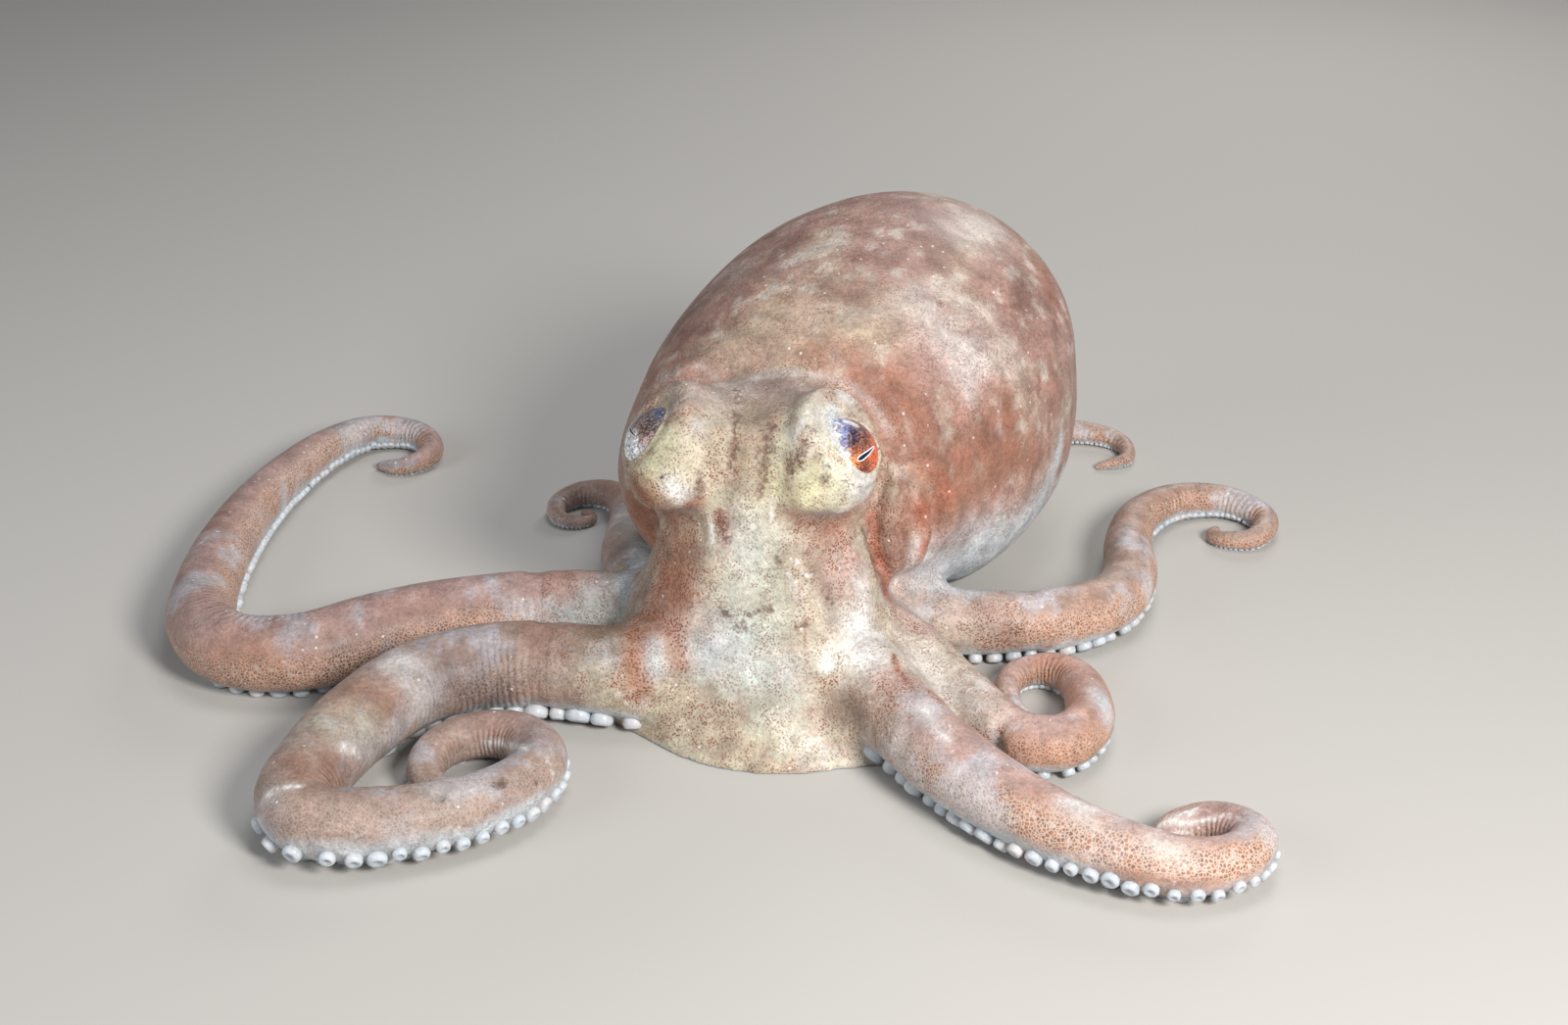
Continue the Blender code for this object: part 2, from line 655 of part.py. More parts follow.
def build():
    clear_scene()
    flesh = material("mantle_skin", (0.52, 0.31, 0.25), 0.45)
    head_skin = material("head_skin", (0.66, 0.56, 0.44), 0.45)
    web_skin = material("web_skin", (0.68, 0.57, 0.50), 0.45)
    arm_skin = material("arm_skin", (0.70, 0.52, 0.46), 0.45)
    eye_skin = material("eye_skin", (0.35, 0.12, 0.07), 0.15)

    arms = {name: Arm(*facts) for name, facts in ARMS.items()}
    headings = [
        math.atan2(*reversed((arm.centre(ROOT_LENGTH).xy - CROWN_CENTRE)[:])) for arm in arms.values()
    ]

    for sign, side_name in ((1, "left"), (-1, "right")):
        solid("eye_" + side_name, eyeball(sign), eye_skin)

    head = solid("head", head_core(), head_skin)
    combine(head, [solid("shape", make(sign)) for sign in (1, -1) for make in (eye_dome, lid)], "UNION")
    combine(head, [solid("socket", eyeball(sign, GAP)) for sign in (1, -1)], "DIFFERENCE")

    crown = solid("crown", web_body(headings), web_skin)
    joined = [solid("mouth_lip", lip())]
    for arm in arms.values():
        joined.append(solid("root", arm.tube(0, ROOT_LENGTH + ROOT_SPARE)))
        joined += [
            solid("sucker", arm.sucker(*place))
            for place in arm.sucker_places() if place[0] < ROOT_LENGTH - arm.sucker_room(ROOT_LENGTH)
        ]
    combine(crown, joined, "UNION")
    cutters = [floor_block()]
    cutters += [solid("arm_place", arm.stub_cutter()) for arm in arms.values()]
    combine(crown, cutters, "DIFFERENCE")

    for name, arm in arms.items():
        cuts = arm.cuts()
        for number, (start, end) in enumerate(zip(cuts, cuts[1:]), 1):
            last = end >= arm.length
            piece = solid(f"arm_{name}_{number}", arm.tube(start, end), arm_skin)
            low = start + arm.sucker_room(start)
            high = arm.length if last else end - arm.sucker_room(end)
            cups = [
                solid("sucker", arm.sucker(*place))
                for place in arm.sucker_places() if low < place[0] < high
            ]
            if cups:
                combine(piece, cups, "UNION")
            combine(piece, [floor_block()], "DIFFERENCE")

    funnel = solid("funnel", loft(funnel_rings(FUNNEL_RADII, 0, FUNNEL_FROM, 1)), flesh)
    bore = [radius - FUNNEL_WALL for radius in FUNNEL_RADII]
    combine(funnel, [
        solid("bore", loft(funnel_rings(bore, 0, BORE_FROM, BORE_TO))),
        solid("head_place", head_core(GAP)), solid("dome_place", eye_dome(1, GAP)),
        solid("web_place", web_body(headings, GAP)),
    ], "DIFFERENCE")

    mantle = solid("mantle", mantle_body(), flesh)
    cutters = [solid("head_place", head_core(GAP)), solid("web_place", web_body(headings, GAP))]
    cutters += [solid("dome_place", eye_dome(sign, GAP)) for sign in (1, -1)]
    cutters.append(solid("funnel_place", loft(funnel_rings(FUNNEL_RADII, GAP, *FUNNEL_PLACE))))
    cutters += [solid("arm_place", arm.tube(0, arm.length, GAP)) for arm in arms.values()]
    combine(mantle, cutters, "DIFFERENCE")

    for obj in bpy.context.scene.objects:
        obj.data.shade_smooth()
        obj.data.set_sharp_from_angle(angle=SHARP_EDGE)


build()
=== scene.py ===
import math

import bmesh
import bpy
import numpy as np
from mathutils import Matrix, Vector, noise
from mathutils.kdtree import KDTree


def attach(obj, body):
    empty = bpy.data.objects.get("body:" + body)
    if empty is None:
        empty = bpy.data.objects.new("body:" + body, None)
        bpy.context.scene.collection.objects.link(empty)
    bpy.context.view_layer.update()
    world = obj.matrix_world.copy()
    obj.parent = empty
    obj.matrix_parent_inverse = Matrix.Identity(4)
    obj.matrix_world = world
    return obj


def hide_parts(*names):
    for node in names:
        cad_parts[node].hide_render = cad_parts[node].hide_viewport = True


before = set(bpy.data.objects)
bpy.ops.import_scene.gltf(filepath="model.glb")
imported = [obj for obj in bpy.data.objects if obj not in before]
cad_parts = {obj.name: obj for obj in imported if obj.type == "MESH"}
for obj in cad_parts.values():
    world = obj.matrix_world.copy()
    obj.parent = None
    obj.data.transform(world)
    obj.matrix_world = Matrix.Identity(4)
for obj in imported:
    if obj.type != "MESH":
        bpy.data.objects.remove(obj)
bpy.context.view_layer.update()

# The camera looks down at the animal's face from in front, and a wide pale floor carries it.
# One soft lamp stands high at the right, weaker ones above, at the left and behind, and a pale
# room light fills the shadows.
MM = 0.001
FOOTPRINT_MIDDLE = Vector((-6.1, 19.6, 0.0))
CAMERA_PLACE = Vector((0.0, -333.52, 185.52))
CAMERA_TARGET = Vector((0.0, 0.0, 30.0))
CAMERA_LENS = 60.0
CAMERA_SENSOR = 36.0
CAMERA_NEAR = 0.01
FLOOR_SIZE = 6.0
FLOOR_COLOUR = (0.52, 0.50, 0.47)
FLOOR_ROUGHNESS = 0.9
# name, place, width, power and colour
LAMPS = (
    ("key", (190.0, -330.0, 260.0), 130.0, 2.4, (1.0, 0.98, 0.95)),
    ("top", (60.0, 60.0, 480.0), 260.0, 0.6, (0.95, 0.97, 1.0)),
    ("fill", (-380.0, -200.0, 220.0), 260.0, 0.55, (0.92, 0.96, 1.0)),
    ("rim", (160.0, 420.0, 260.0), 200.0, 0.5, (1.0, 0.98, 0.95)),
)
LAMP_TARGET = (8.0, 20.0, 20.0)
ROOM_LIGHT = (0.80, 0.85, 0.92)
ROOM_STRENGTH = 0.18


def in_row(point):
    """A point in millimetres, measured from the crown, as a point in metres on the row's axes."""
    return (Vector(point) - FOOTPRINT_MIDDLE) * MM


def aim(obj, target):
    """Turns a camera or a lamp towards a point."""
    obj.rotation_euler = (in_row(target) - obj.location).to_track_quat("-Z", "Y").to_euler()


camera = bpy.data.objects.new("camera", bpy.data.cameras.new("camera"))
camera.data.lens = CAMERA_LENS
camera.data.sensor_width = CAMERA_SENSOR
camera.data.clip_start = CAMERA_NEAR
camera.location = in_row(CAMERA_PLACE)
aim(camera, CAMERA_TARGET)
bpy.context.scene.collection.objects.link(camera)
bpy.context.scene.camera = camera

for name, place, width, power, colour in LAMPS:
    lamp = bpy.data.objects.new(name, bpy.data.lights.new(name, "AREA"))
    lamp.data.shape = "DISK"
    lamp.data.size = width * MM
    lamp.data.energy = power
    lamp.data.color = colour
    lamp.location = in_row(place)
    aim(lamp, LAMP_TARGET)
    bpy.context.scene.collection.objects.link(lamp)

bpy.context.scene.view_settings.view_transform = "Standard"

world = bpy.data.worlds.new("room")
world.use_nodes = True
room = world.node_tree.nodes["Background"]
room.inputs["Color"].default_value = (*ROOM_LIGHT, 1.0)
room.inputs["Strength"].default_value = ROOM_STRENGTH
bpy.context.scene.world = world

bm = bmesh.new()
bmesh.ops.create_grid(bm, x_segments=1, y_segments=1, size=FLOOR_SIZE / 2)
floor_mesh = bpy.data.meshes.new("floor")
bm.to_mesh(floor_mesh)
bm.free()
floor = bpy.data.objects.new("floor", floor_mesh)
floor_paint = bpy.data.materials.new("pale_floor")
floor_paint.use_nodes = True
shader = floor_paint.node_tree.nodes["Principled BSDF"]
shader.inputs["Base Color"].default_value = (*FLOOR_COLOUR, 1.0)
shader.inputs["Roughness"].default_value = FLOOR_ROUGHNESS
floor_mesh.materials.append(floor_paint)
bpy.context.scene.collection.objects.link(floor)

# The arms are solid muscle, eight round tapering limbs that leave the crown under the head and
# lie on the floor on their suckers. Here are their routes and sections, which the skin and the
# suckers below both follow. Sizes are millimetres, measured from the middle of the crown.
UP = Vector((0, 0, 1))
# radius at the root, roll of the sucker side in degrees, power of the taper, and the route
ARMS = {
    "right_1": (7.2, 30.0, 0.45, (
        (-7, -1), (-19, -6.5), (-31, -3.8), (-42, -3.4), (-52, -8.0), (-59.0, -18.5), (-63, -29.5),
        (-64.5, -38), (-61, -43.5), (-52, -43), (-43, -39.5), (-36.3, -33.8), (-33.2, -25.8),
        (-36, -18.6), (-42.2, -16.4), (-47.8, -19.8), (-49, -26), (-46, -30.2), (-42, -28.5),
        (-42.6, -25),
    )),
    "right_2": (7.0, 22.0, 0.5, (
        (-9, 7.5), (-22, 12), (-36, 13.5), (-48, 12), (-59, 8.5), (-70, 2.5), (-80, 3.5),
        (-86.5, 12), (-88.5, 26), (-88.5, 41), (-87, 56), (-84, 70), (-79.5, 83), (-73, 91.5),
        (-64.5, 91), (-61.5, 84), (-66, 79.5), (-70.5, 82),
    )),
    "right_3": (6.4, 10.0, 0.9, (
        (-8, 12), (-16.5, 18.5), (-22, 27), (-24.5, 37), (-25, 47), (-25.5, 57), (-28.5, 65.5),
        (-34, 67.5), (-38.2, 63.5), (-36.6, 58.3), (-32.4, 58.6), (-31.6, 62), (-33.6, 63.2),
    )),
    "right_4": (4.8, 0.0, 0.6, (
        (-4, 14), (-8, 24.5), (-10.5, 36), (-11.5, 48), (-10, 60), (-6, 71), (0, 81), (8, 89),
        (17, 93), (25, 90.5), (26, 84.5), (21.5, 83),
    )),
    "left_1": (6.8, 32.0, 0.5, (
        (5, -1), (13.5, -12.5), (19, -23.5), (25.8, -34), (34, -43), (42.5, -49), (51, -52),
        (58, -49.5), (61, -43.5), (57, -38.5), (51, -39.5), (49.5, -44.5), (53, -46.5),
    )),
    "left_2": (5.8, 8.0, 0.6, (
        (8, 5), (17.5, 1), (23, -5.5), (26.5, -12.5), (31, -19), (37.5, -21), (42.3, -15),
        (43.4, -6.5), (42.2, 1), (37.8, 4.5), (33.4, 2.4), (32.2, -2.2), (33.6, -7), (36.6, -10),
    )),
    "left_3": (5.8, 12.0, 0.6, (
        (8, 10), (19, 13), (30, 13), (41, 15), (50, 21.5), (54, 31.5), (55, 43), (58, 54),
        (65, 62), (74, 63), (79.5, 56.5), (76, 50), (70, 52), (71.5, 56.5),
    )),
    "left_4": (4.8, 0.0, 0.6, (
        (3, 14), (7.5, 25), (12, 36), (16.5, 47), (22, 58), (28.5, 69), (35.5, 79), (43, 88),
        (51, 94), (59, 91), (60, 84), (54.5, 82),
    )),
}
HIDDEN_ARMS = ("right_4", "left_4")
ARM_TIP = 0.45
ARM_FLAT = 0.88
ARM_LOOK = 0.6
ROOT_LENGTH = 20.0
ROOT_HEIGHT = 8.0
ROOT_SWELL = 1.0
ROLL_FROM = 30.0
ROLL_FULL = 65.0
SPLINE_STEP = 0.25
ROUTE_SMOOTHING = 60
BEND_SMOOTHING = 6
SUCKER_HEIGHT = 0.25
# how far the suckers press into the floor, and the arm's radius from which they do so in full
FLOOR_SINK = 0.25
FLOOR_SINK_RADIUS = 3.0


def smooth_route(corners):
    """Points about SPLINE_STEP apart on a smooth curve through the corners."""
    corner = np.array(corners, float)
    padded = np.vstack([2 * corner[0] - corner[1], corner, 2 * corner[-1] - corner[-2]])
    route = []
    for a, b, c, d in zip(padded, padded[1:], padded[2:], padded[3:]):
        count = max(2, int(np.linalg.norm(c - b) / SPLINE_STEP))
        for t in np.arange(count) / count:
            route.append(
                0.5 * (2 * b + (c - a) * t + (2 * a - 5 * b + 4 * c - d) * t**2
                       + (3 * b - a - 3 * c + d) * t**3)
            )
    route.append(corner[-1])
    route = np.array(route)
    for _ in range(ROUTE_SMOOTHING):
        route[1:-1] = (route[:-2] + 2 * route[1:-1] + route[2:]) / 4
    return route


def ease(value, low, high):
    """0 below low, 1 above high, and a smooth step between. It takes numbers and arrays."""
    share = np.clip((value - low) / (high - low), 0.0, 1.0)
    return share * share * (3 - 2 * share)


class Arm:
    """One arm: its route, its radius along the route, and the directions of its section."""

    def __init__(self, root_radius, roll, taper, corners):
        self.root_radius = root_radius
        self.taper = taper
        self.roll = math.radians(roll)
        self.plan = smooth_route(corners)
        steps = np.linalg.norm(np.diff(self.plan, axis=0), axis=1)
        self.at = np.concatenate([[0], np.cumsum(steps)])
        self.length = self.at[-1]
        heading = np.diff(self.plan, axis=0)
        angles = np.unwrap(np.arctan2(heading[:, 1], heading[:, 0]))
        bend = np.gradient(angles, self.at[:-1])
        window = np.ones(2 * BEND_SMOOTHING + 1) / (2 * BEND_SMOOTHING + 1)
        bend = np.convolve(np.pad(bend, BEND_SMOOTHING, "edge"), window, "valid")
        self.bend = np.append(bend, bend[-1])

    def radius(self, station):
        """The arm's radius at a distance along it, thicker where it leaves the crown."""
        share = max(0.0, 1 - station / self.length)
        swell = ROOT_SWELL * (1 - float(ease(station, 0, ROOT_LENGTH)))
        return ARM_TIP + (self.root_radius - ARM_TIP) * share**self.taper + swell

    def centre(self, station):
        """The middle of the arm there; the arm comes down from the crown onto its suckers."""
        radius = self.radius(station)
        sink = FLOOR_SINK * min(1, radius / FLOOR_SINK_RADIUS)
        resting = radius * (ARM_FLAT + SUCKER_HEIGHT) - sink
        height = ROOT_HEIGHT + (resting - ROOT_HEIGHT) * float(ease(station, 0, ROOT_LENGTH))
        x, y = (np.interp(station, self.at, self.plan[:, axis]) for axis in (0, 1))
        return Vector((x, y, height))

    def frame(self, station):
        """Forward, sideways and oral directions at a station."""
        ahead = self.centre(min(station + ARM_LOOK, self.length))
        behind = self.centre(max(station - ARM_LOOK, 0))
        forward = (ahead - behind).normalized()
        side = forward.cross(UP).normalized()
        turn = Matrix.Rotation(-self.roll * float(ease(station, ROLL_FROM, ROLL_FULL)), 3, forward)
        oral = side.cross(forward)
        if oral.z > 0:
            oral = -oral
        return forward, turn @ side, turn @ oral


arms = {name: Arm(*facts) for name, facts in ARMS.items()}

# The mantle is the muscular bag that holds the organs. It lies back and to the right behind
# the head, egg-shaped, with its closed end raised, and it rests on the two hind arms.
# centre x, centre y, centre z, half width, half height
MANTLE_SECTIONS = (
    (-4.5, 8.0, 25.0, 19.5, 15.0),
    (-2.5, 14.5, 26.3, 23.6, 19.0),
    (2.5, 25.0, 28.3, 27.6, 23.2),
    (11.0, 41.0, 30.5, 30.8, 25.8),
    (19.0, 57.0, 33.0, 29.2, 25.0),
    (26.5, 71.0, 36.0, 21.5, 19.0),
    (31.0, 79.0, 38.0, 11.5, 10.5),
    (33.0, 82.5, 38.8, 3.5, 3.2),
)
MANTLE_SIDES = 96
MANTLE_RINGS = 64
MANTLE_RING_CROWDING = 0.075
MANTLE_LOOK = 0.02
MANTLE_BELLY = 0.16
BELLY_FULL = 0.3
# the room left round an arm, from where along it, and how high over the floor in arm radii
MANTLE_CLEAR = 0.9
CLEAR_FROM = 15.0
CLEAR_STEP = 0.5
CLEAR_HEIGHT = 2.2
CLEAR_LIFT = 0.2


def ellipse(centre, across, along, half_across, half_along, sides):
    """Points round an ellipse that spans two directions."""
    return [
        centre
        + across * (half_across * math.cos(turn))
        + along * (half_along * math.sin(turn))
        for turn in (2 * math.pi * n / sides for n in range(sides))
    ]


def extruded(bm, ring, edges):
    """The ring of points and edges that extruding a ring makes, in the same order."""
    made = bmesh.ops.extrude_edge_only(bm, edges=edges)["geom"]
    fresh = {item for item in made if isinstance(item, bmesh.types.BMVert)}
    outer = [
        next(edge.other_vert(vert) for edge in vert.link_edges if edge.other_vert(vert) in fresh)
        for vert in ring
    ]
    outer_edges = [
        item for item in made if isinstance(item, bmesh.types.BMEdge) and set(item.verts) <= fresh
    ]
    return outer, outer_edges


def loft(rings):
    """A closed body through rings of points, each ring with the same number of points."""
    bm = bmesh.new()
    bmesh.ops.create_circle(bm, cap_ends=False, segments=len(rings[0]), radius=1)
    ring = list(bm.verts)
    edges = list(bm.edges)
    first = ring
    for number, points in enumerate(rings):
        if number:
            ring, edges = extruded(bm, ring, edges)
        for vert, point in zip(ring, points):
            vert.co = point
    bm.faces.new(first)
    bm.faces.new(list(reversed(ring)))
    bmesh.ops.recalc_face_normals(bm, faces=bm.faces)
    return bm


def between(rows, share):
    """A row on the smooth curve through the rows, at a share of the way along them."""
    rows = np.array(rows, float)
    apart = np.linalg.norm(np.diff(rows[:, :3], axis=0), axis=1)
    at = np.concatenate([[0], np.cumsum(apart)])
    at /= at[-1]
    slopes = np.gradient(rows, at, axis=0)
    n = min(len(at) - 2, max(0, int(np.searchsorted(at, share, side="right")) - 1))
    span = at[n + 1] - at[n]
    t = (share - at[n]) / span
    return (
        rows[n] * (2 * t**3 - 3 * t**2 + 1) + slopes[n] * span * (t**3 - 2 * t**2 + t)
        + rows[n + 1] * (3 * t**2 - 2 * t**3) + slopes[n + 1] * span * (t**3 - t**2)
    )


def mantle_body():
    """The bag, with an underside that is fuller than an ellipse halfway down each side."""
    rings = []
    for number in range(MANTLE_RINGS):
        share = number / (MANTLE_RINGS - 1)
        share -= MANTLE_RING_CROWDING * math.sin(2 * math.pi * share)
        row = between(MANTLE_SECTIONS, share)
        ahead = Vector(between(MANTLE_SECTIONS, min(1.0, share + MANTLE_LOOK))[:3])
        behind = Vector(between(MANTLE_SECTIONS, max(0.0, share - MANTLE_LOOK))[:3])
        along = (ahead - behind).normalized()
        side = along.cross(UP).normalized()
        middle = Vector(row[:3])
        ring = ellipse(middle, side, side.cross(along), row[3], row[4], MANTLE_SIDES)
        belly = MANTLE_BELLY * min(1.0, share / BELLY_FULL) ** 2
        for n in range(MANTLE_SIDES // 2, MANTLE_SIDES):
            fuller = belly * math.sin(4 * math.pi * n / MANTLE_SIDES) ** 2
            ring[n] = middle + (ring[n] - middle) * (1 + fuller)
        rings.append(ring)
    return loft(rings)


def make_room(bm, arm):
    """Dents the mantle where an arm lies against it, so that the two stay apart."""
    stations = np.arange(CLEAR_FROM, arm.length, CLEAR_STEP)
    middles = np.array([arm.centre(s) for s in stations])
    radii = np.array([arm.radius(s) for s in stations]) + MANTLE_CLEAR
    for vert in bm.verts:
        if vert.co.z > CLEAR_HEIGHT * radii[0]:
            continue
        away = np.linalg.norm(middles - np.array(vert.co), axis=1)
        nearest = int(np.argmin(away - radii))
        depth = radii[nearest] - away[nearest]
        if depth > 0:
            push = vert.co - Vector(middles[nearest])
            push.z = max(push.z, CLEAR_LIFT)
            vert.co = Vector(middles[nearest]) + push.normalized() * radii[nearest]


mantle = mantle_body()
for arm in arms.values():
    make_room(mantle, arm)

# The head is a short column that leans back, with an eye dome on each side of a shallow
# furrowed band. The skin of the domes is thin and closes round each eye.
HEAD_YAW = math.radians(8)
# centre x, centre y, height, half width, half depth
HEAD_SECTIONS = (
    (-3.8, 2.4, 10.0, 19.5, 16.0),
    (-3.6, 3.0, 17.0, 18.0, 14.8),
    (-3.1, 3.5, 21.5, 16.2, 13.7),
    (-3.2, 4.4, 27.0, 14.3, 13.0),
    (-3.8, 5.4, 33.0, 14.6, 12.7),
    (-4.2, 6.4, 39.0, 15.0, 12.4),
    (-4.4, 7.2, 42.0, 13.4, 11.6),
    (-4.5, 8.0, 44.4, 9.6, 9.2),
    (-4.5, 8.4, 45.5, 4.6, 4.8),
)
HEAD_SIDES = 72
HEAD_RINGS = 44
DOME_APART = 20.6
DOME_CENTRE = Vector((-4.4, 3.0, 36.6))
DOME_RADII = Vector((7.9, 10.2, 9.8))
DOME_TALLER = 1.14
DOME_SEGMENTS = 48
DOME_RINGS = 32
# each dome has a broad lobe on its lower, inner side: its radii, and how far it lies inward,
# backward and up from the dome
LOBE_RADII = Vector((7.6, 10.0, 6.6))
LOBE_PLACE = (2.4, -0.7, -1.6)


def head_directions():
    """Sideways (to the animal's left) and backward directions of the turned head."""
    turn = Matrix.Rotation(-HEAD_YAW, 3, "Z")
    return turn @ Vector((1, 0, 0)), turn @ Vector((0, 1, 0))


def head_core():
    """The column of the head, without the domes."""
    side, back = head_directions()
    rings = []
    for share in np.linspace(0, 1, HEAD_RINGS):
        row = between(HEAD_SECTIONS, share)
        rings.append(ellipse(Vector(row[:3]), side, back, row[3], row[4], HEAD_SIDES))
    return loft(rings)


def dome(sign, radii, taller, inward, back_by, up_by):
    """A rounded dome on one side of the head, its upper half stretched."""
    side, back = head_directions()
    centre = DOME_CENTRE + side * (sign * (DOME_APART / 2 - inward)) + back * back_by + UP * up_by
    bm = bmesh.new()
    bmesh.ops.create_uvsphere(bm, u_segments=DOME_SEGMENTS, v_segments=DOME_RINGS, radius=1)
    for vert in bm.verts:
        x, y, z = vert.co
        z *= taller if z > 0 else 1
        vert.co = centre + side * (x * radii.x) + back * (y * radii.y) + UP * (z * radii.z)
    return bm


# The crown is where the arms meet round the mouth. The web between them flares like a skirt
# from the neck to the floor, thin at its rim, and the arms' roots stand out under it as ridges.
CROWN_CENTRE = Vector((-0.5, 4.0))
CROWN_TOP = 17.0
CROWN_SIDES = 180
CROWN_RINGS = 24
WEB_REACH = 23.5
WEB_REACH_AT_ARM = 26.0
WEB_REACH_IN_FRONT = 2.5
WEB_ARM_WIDTH = 0.21
WEB_FLARE = 1.7
WEB_STRAIGHT = 0.35
# centre x, centre y, half width and half depth of the neck where the web leaves it
WEB_TOP = (-3.6, 3.0, 18.0, 14.8)
# how far in from the rim the web's underside rises, and how high
WEB_UNDERSIDE = ((1.4, 0.0), (6.0, 1.3), (21.0, 1.6))
ROOT_CUT = 27.0
ROOT_CUT_LEFT_2 = 34.0
ROOT_SPARE = 3.0
ROOT_SIDES = 40
ROOT_STEP = 1.0
# inside a bend the skin creases: spacing and depth in arm radii, and the bend that creases in full
CREASE_SPACING = 0.36
CREASE_LEAST = 0.5
CREASE_DEPTH = 0.07
CREASE_BEND = 1.6
LIP_SIDES = 40
# height and radius of the mouth's lip, from inside the crown down and up into the mouth
LIP_LEVELS = ((6.0, 4.2), (1.6, 4.2), (0.5, 3.4), (0.5, 2.2), (2.4, 1.3))

for name, arm in arms.items():
    arm.root_cut = ROOT_CUT_LEFT_2 if name == "left_2" else ROOT_CUT
headings = [
    math.atan2(*reversed((arm.centre(ROOT_LENGTH).xy - CROWN_CENTRE)[:])) for arm in arms.values()
]


def web_reach(turn):
    """How far the web's rim reaches in a direction: far along an arm, less between two arms."""
    nearest = min(abs((turn - heading + math.pi) % (2 * math.pi) - math.pi) for heading in headings)
    along = math.exp(-((nearest / WEB_ARM_WIDTH) ** 2))
    in_front = max(0.0, -math.sin(turn))
    return WEB_REACH + WEB_REACH_IN_FRONT * in_front + (WEB_REACH_AT_ARM - WEB_REACH) * along


def web_body():
    """The web from the neck out to its rim on the floor, and back under it."""
    x, y, half_width, half_depth = WEB_TOP
    turns = [2 * math.pi * n / CROWN_SIDES for n in range(CROWN_SIDES)]
    rings = []
    for share in np.linspace(0, 1, CROWN_RINGS):
        flare = WEB_STRAIGHT * share + (1 - WEB_STRAIGHT) * share**WEB_FLARE
        centre = Vector((x, y)).lerp(CROWN_CENTRE, share)
        ring = []
        for turn in turns:
            head_turn = turn + HEAD_YAW
            at_top = 1 / math.hypot(
                math.cos(head_turn) / half_width, math.sin(head_turn) / half_depth
            )
            reach = at_top + (web_reach(turn) - at_top) * flare
            out = Vector((math.cos(turn), math.sin(turn)))
            ring.append(Vector((*(centre + out * reach), CROWN_TOP * (1 - share))))
        rings.append(ring)
    for inset, height in WEB_UNDERSIDE:
        rings.append([
            Vector((*(CROWN_CENTRE + Vector((math.cos(turn), math.sin(turn)))
                      * (web_reach(turn) - inset)), height))
            for turn in turns
        ])
    return loft(rings)


def arm_ring(arm, station, sides, folds=0.0):
    """A rounded section, flatter on the sucker side, with creases inside a bend."""
    forward, side, oral = arm.frame(station)
    radius = arm.radius(station)
    centre = arm.centre(station)
    bend = float(np.interp(station, arm.at, arm.bend))
    inward = UP.cross(forward) * (1 if bend > 0 else -1)
    spacing = CREASE_SPACING * radius + CREASE_LEAST
    crease = 0.5 + 0.5 * math.cos(2 * math.pi * station / spacing)
    points = []
    for n in range(sides):
        turn = 2 * math.pi * (n + 0.5) / sides
        depth = ARM_FLAT if math.cos(turn) > 0 else 1.0
        out = side * math.sin(turn) + oral * (depth * math.cos(turn))
        inner = max(0.0, out.dot(inward)) ** 2
        dent = folds * min(1.0, abs(bend) * radius * CREASE_BEND) * inner * crease
        points.append(centre + out * (radius - dent * CREASE_DEPTH * radius))
    return points


def root_tube(arm):
    """The first stretch of an arm, which belongs to the crown."""
    stations = np.arange(0, arm.root_cut + ROOT_SPARE + ROOT_STEP / 2, ROOT_STEP)
    return loft([arm_ring(arm, station, ROOT_SIDES) for station in stations])


def mouth_lip():
    """The lip round the mouth, under the middle of the crown."""
    centre = Vector((*CROWN_CENTRE, 0))
    x = Vector((1, 0, 0))
    y = Vector((0, 1, 0))
    return loft([
        ellipse(centre + UP * level, x, y, wide, wide, LIP_SIDES) for level, wide in LIP_LEVELS
    ])


# The funnel is the short muscular tube for breathing and swimming. It leaves the front edge of
# the mantle at the animal's left, beside the neck, with a red fold of the mantle's edge by it.
FUNNEL_ROUTE = ((9.5, 18.0, 27.5), (13.8, 12.6, 25.2), (16.6, 8.4, 21.6), (17.4, 5.8, 18.0))
FUNNEL_RADII = (6.4, 5.6, 4.5, 3.3)
FUNNEL_SIDES = 48
FUNNEL_RINGS = 40
FUNNEL_LOOK = 0.05


def funnel_tube():
    """A tube round the funnel's bent line, narrower towards its mouth."""
    line = smooth_route(FUNNEL_ROUTE)
    shares = np.linspace(0, 1, len(line))
    rings = []
    for share in np.linspace(0, 1, FUNNEL_RINGS):
        here, ahead, behind = (
            Vector([np.interp(share + step, shares, line[:, axis]) for axis in range(3)])
            for step in (0, FUNNEL_LOOK, -FUNNEL_LOOK)
        )
        along = (ahead - behind).normalized()
        side = along.cross(UP).normalized()
        radius = float(np.interp(share, np.linspace(0, 1, len(FUNNEL_RADII)), FUNNEL_RADII))
        rings.append(ellipse(here, side, side.cross(along), radius, radius, FUNNEL_SIDES))
    return loft(rings)


# All of these are one animal under one unbroken skin. The body's shapes are joined and
# remeshed as a single surface, softened where they meet, and the arms grow out of it.
VOXEL = 0.72
SOFTENING = 9
# how far in from the edges of the crown's zone, and how many times that part is softened
CROWN_SOFTENING = ((0.0, 14), (1.2, 14), (2.4, 14))
# the crown's zone: its lowest and highest level, its reach, and how far back it goes
CROWN_SOFT_FROM = 2.2
CROWN_SOFT_TO = 27.0
CROWN_SOFT_REACH = 32.0
CROWN_SOFT_BACK = 26.0


def joined(shapes):
    """One mesh from several shapes, which are freed."""
    whole = bmesh.new()
    for shape in shapes:
        step = bpy.data.meshes.new("step")
        shape.to_mesh(step)
        shape.free()
        whole.from_mesh(step)
        bpy.data.meshes.remove(step)
    return whole


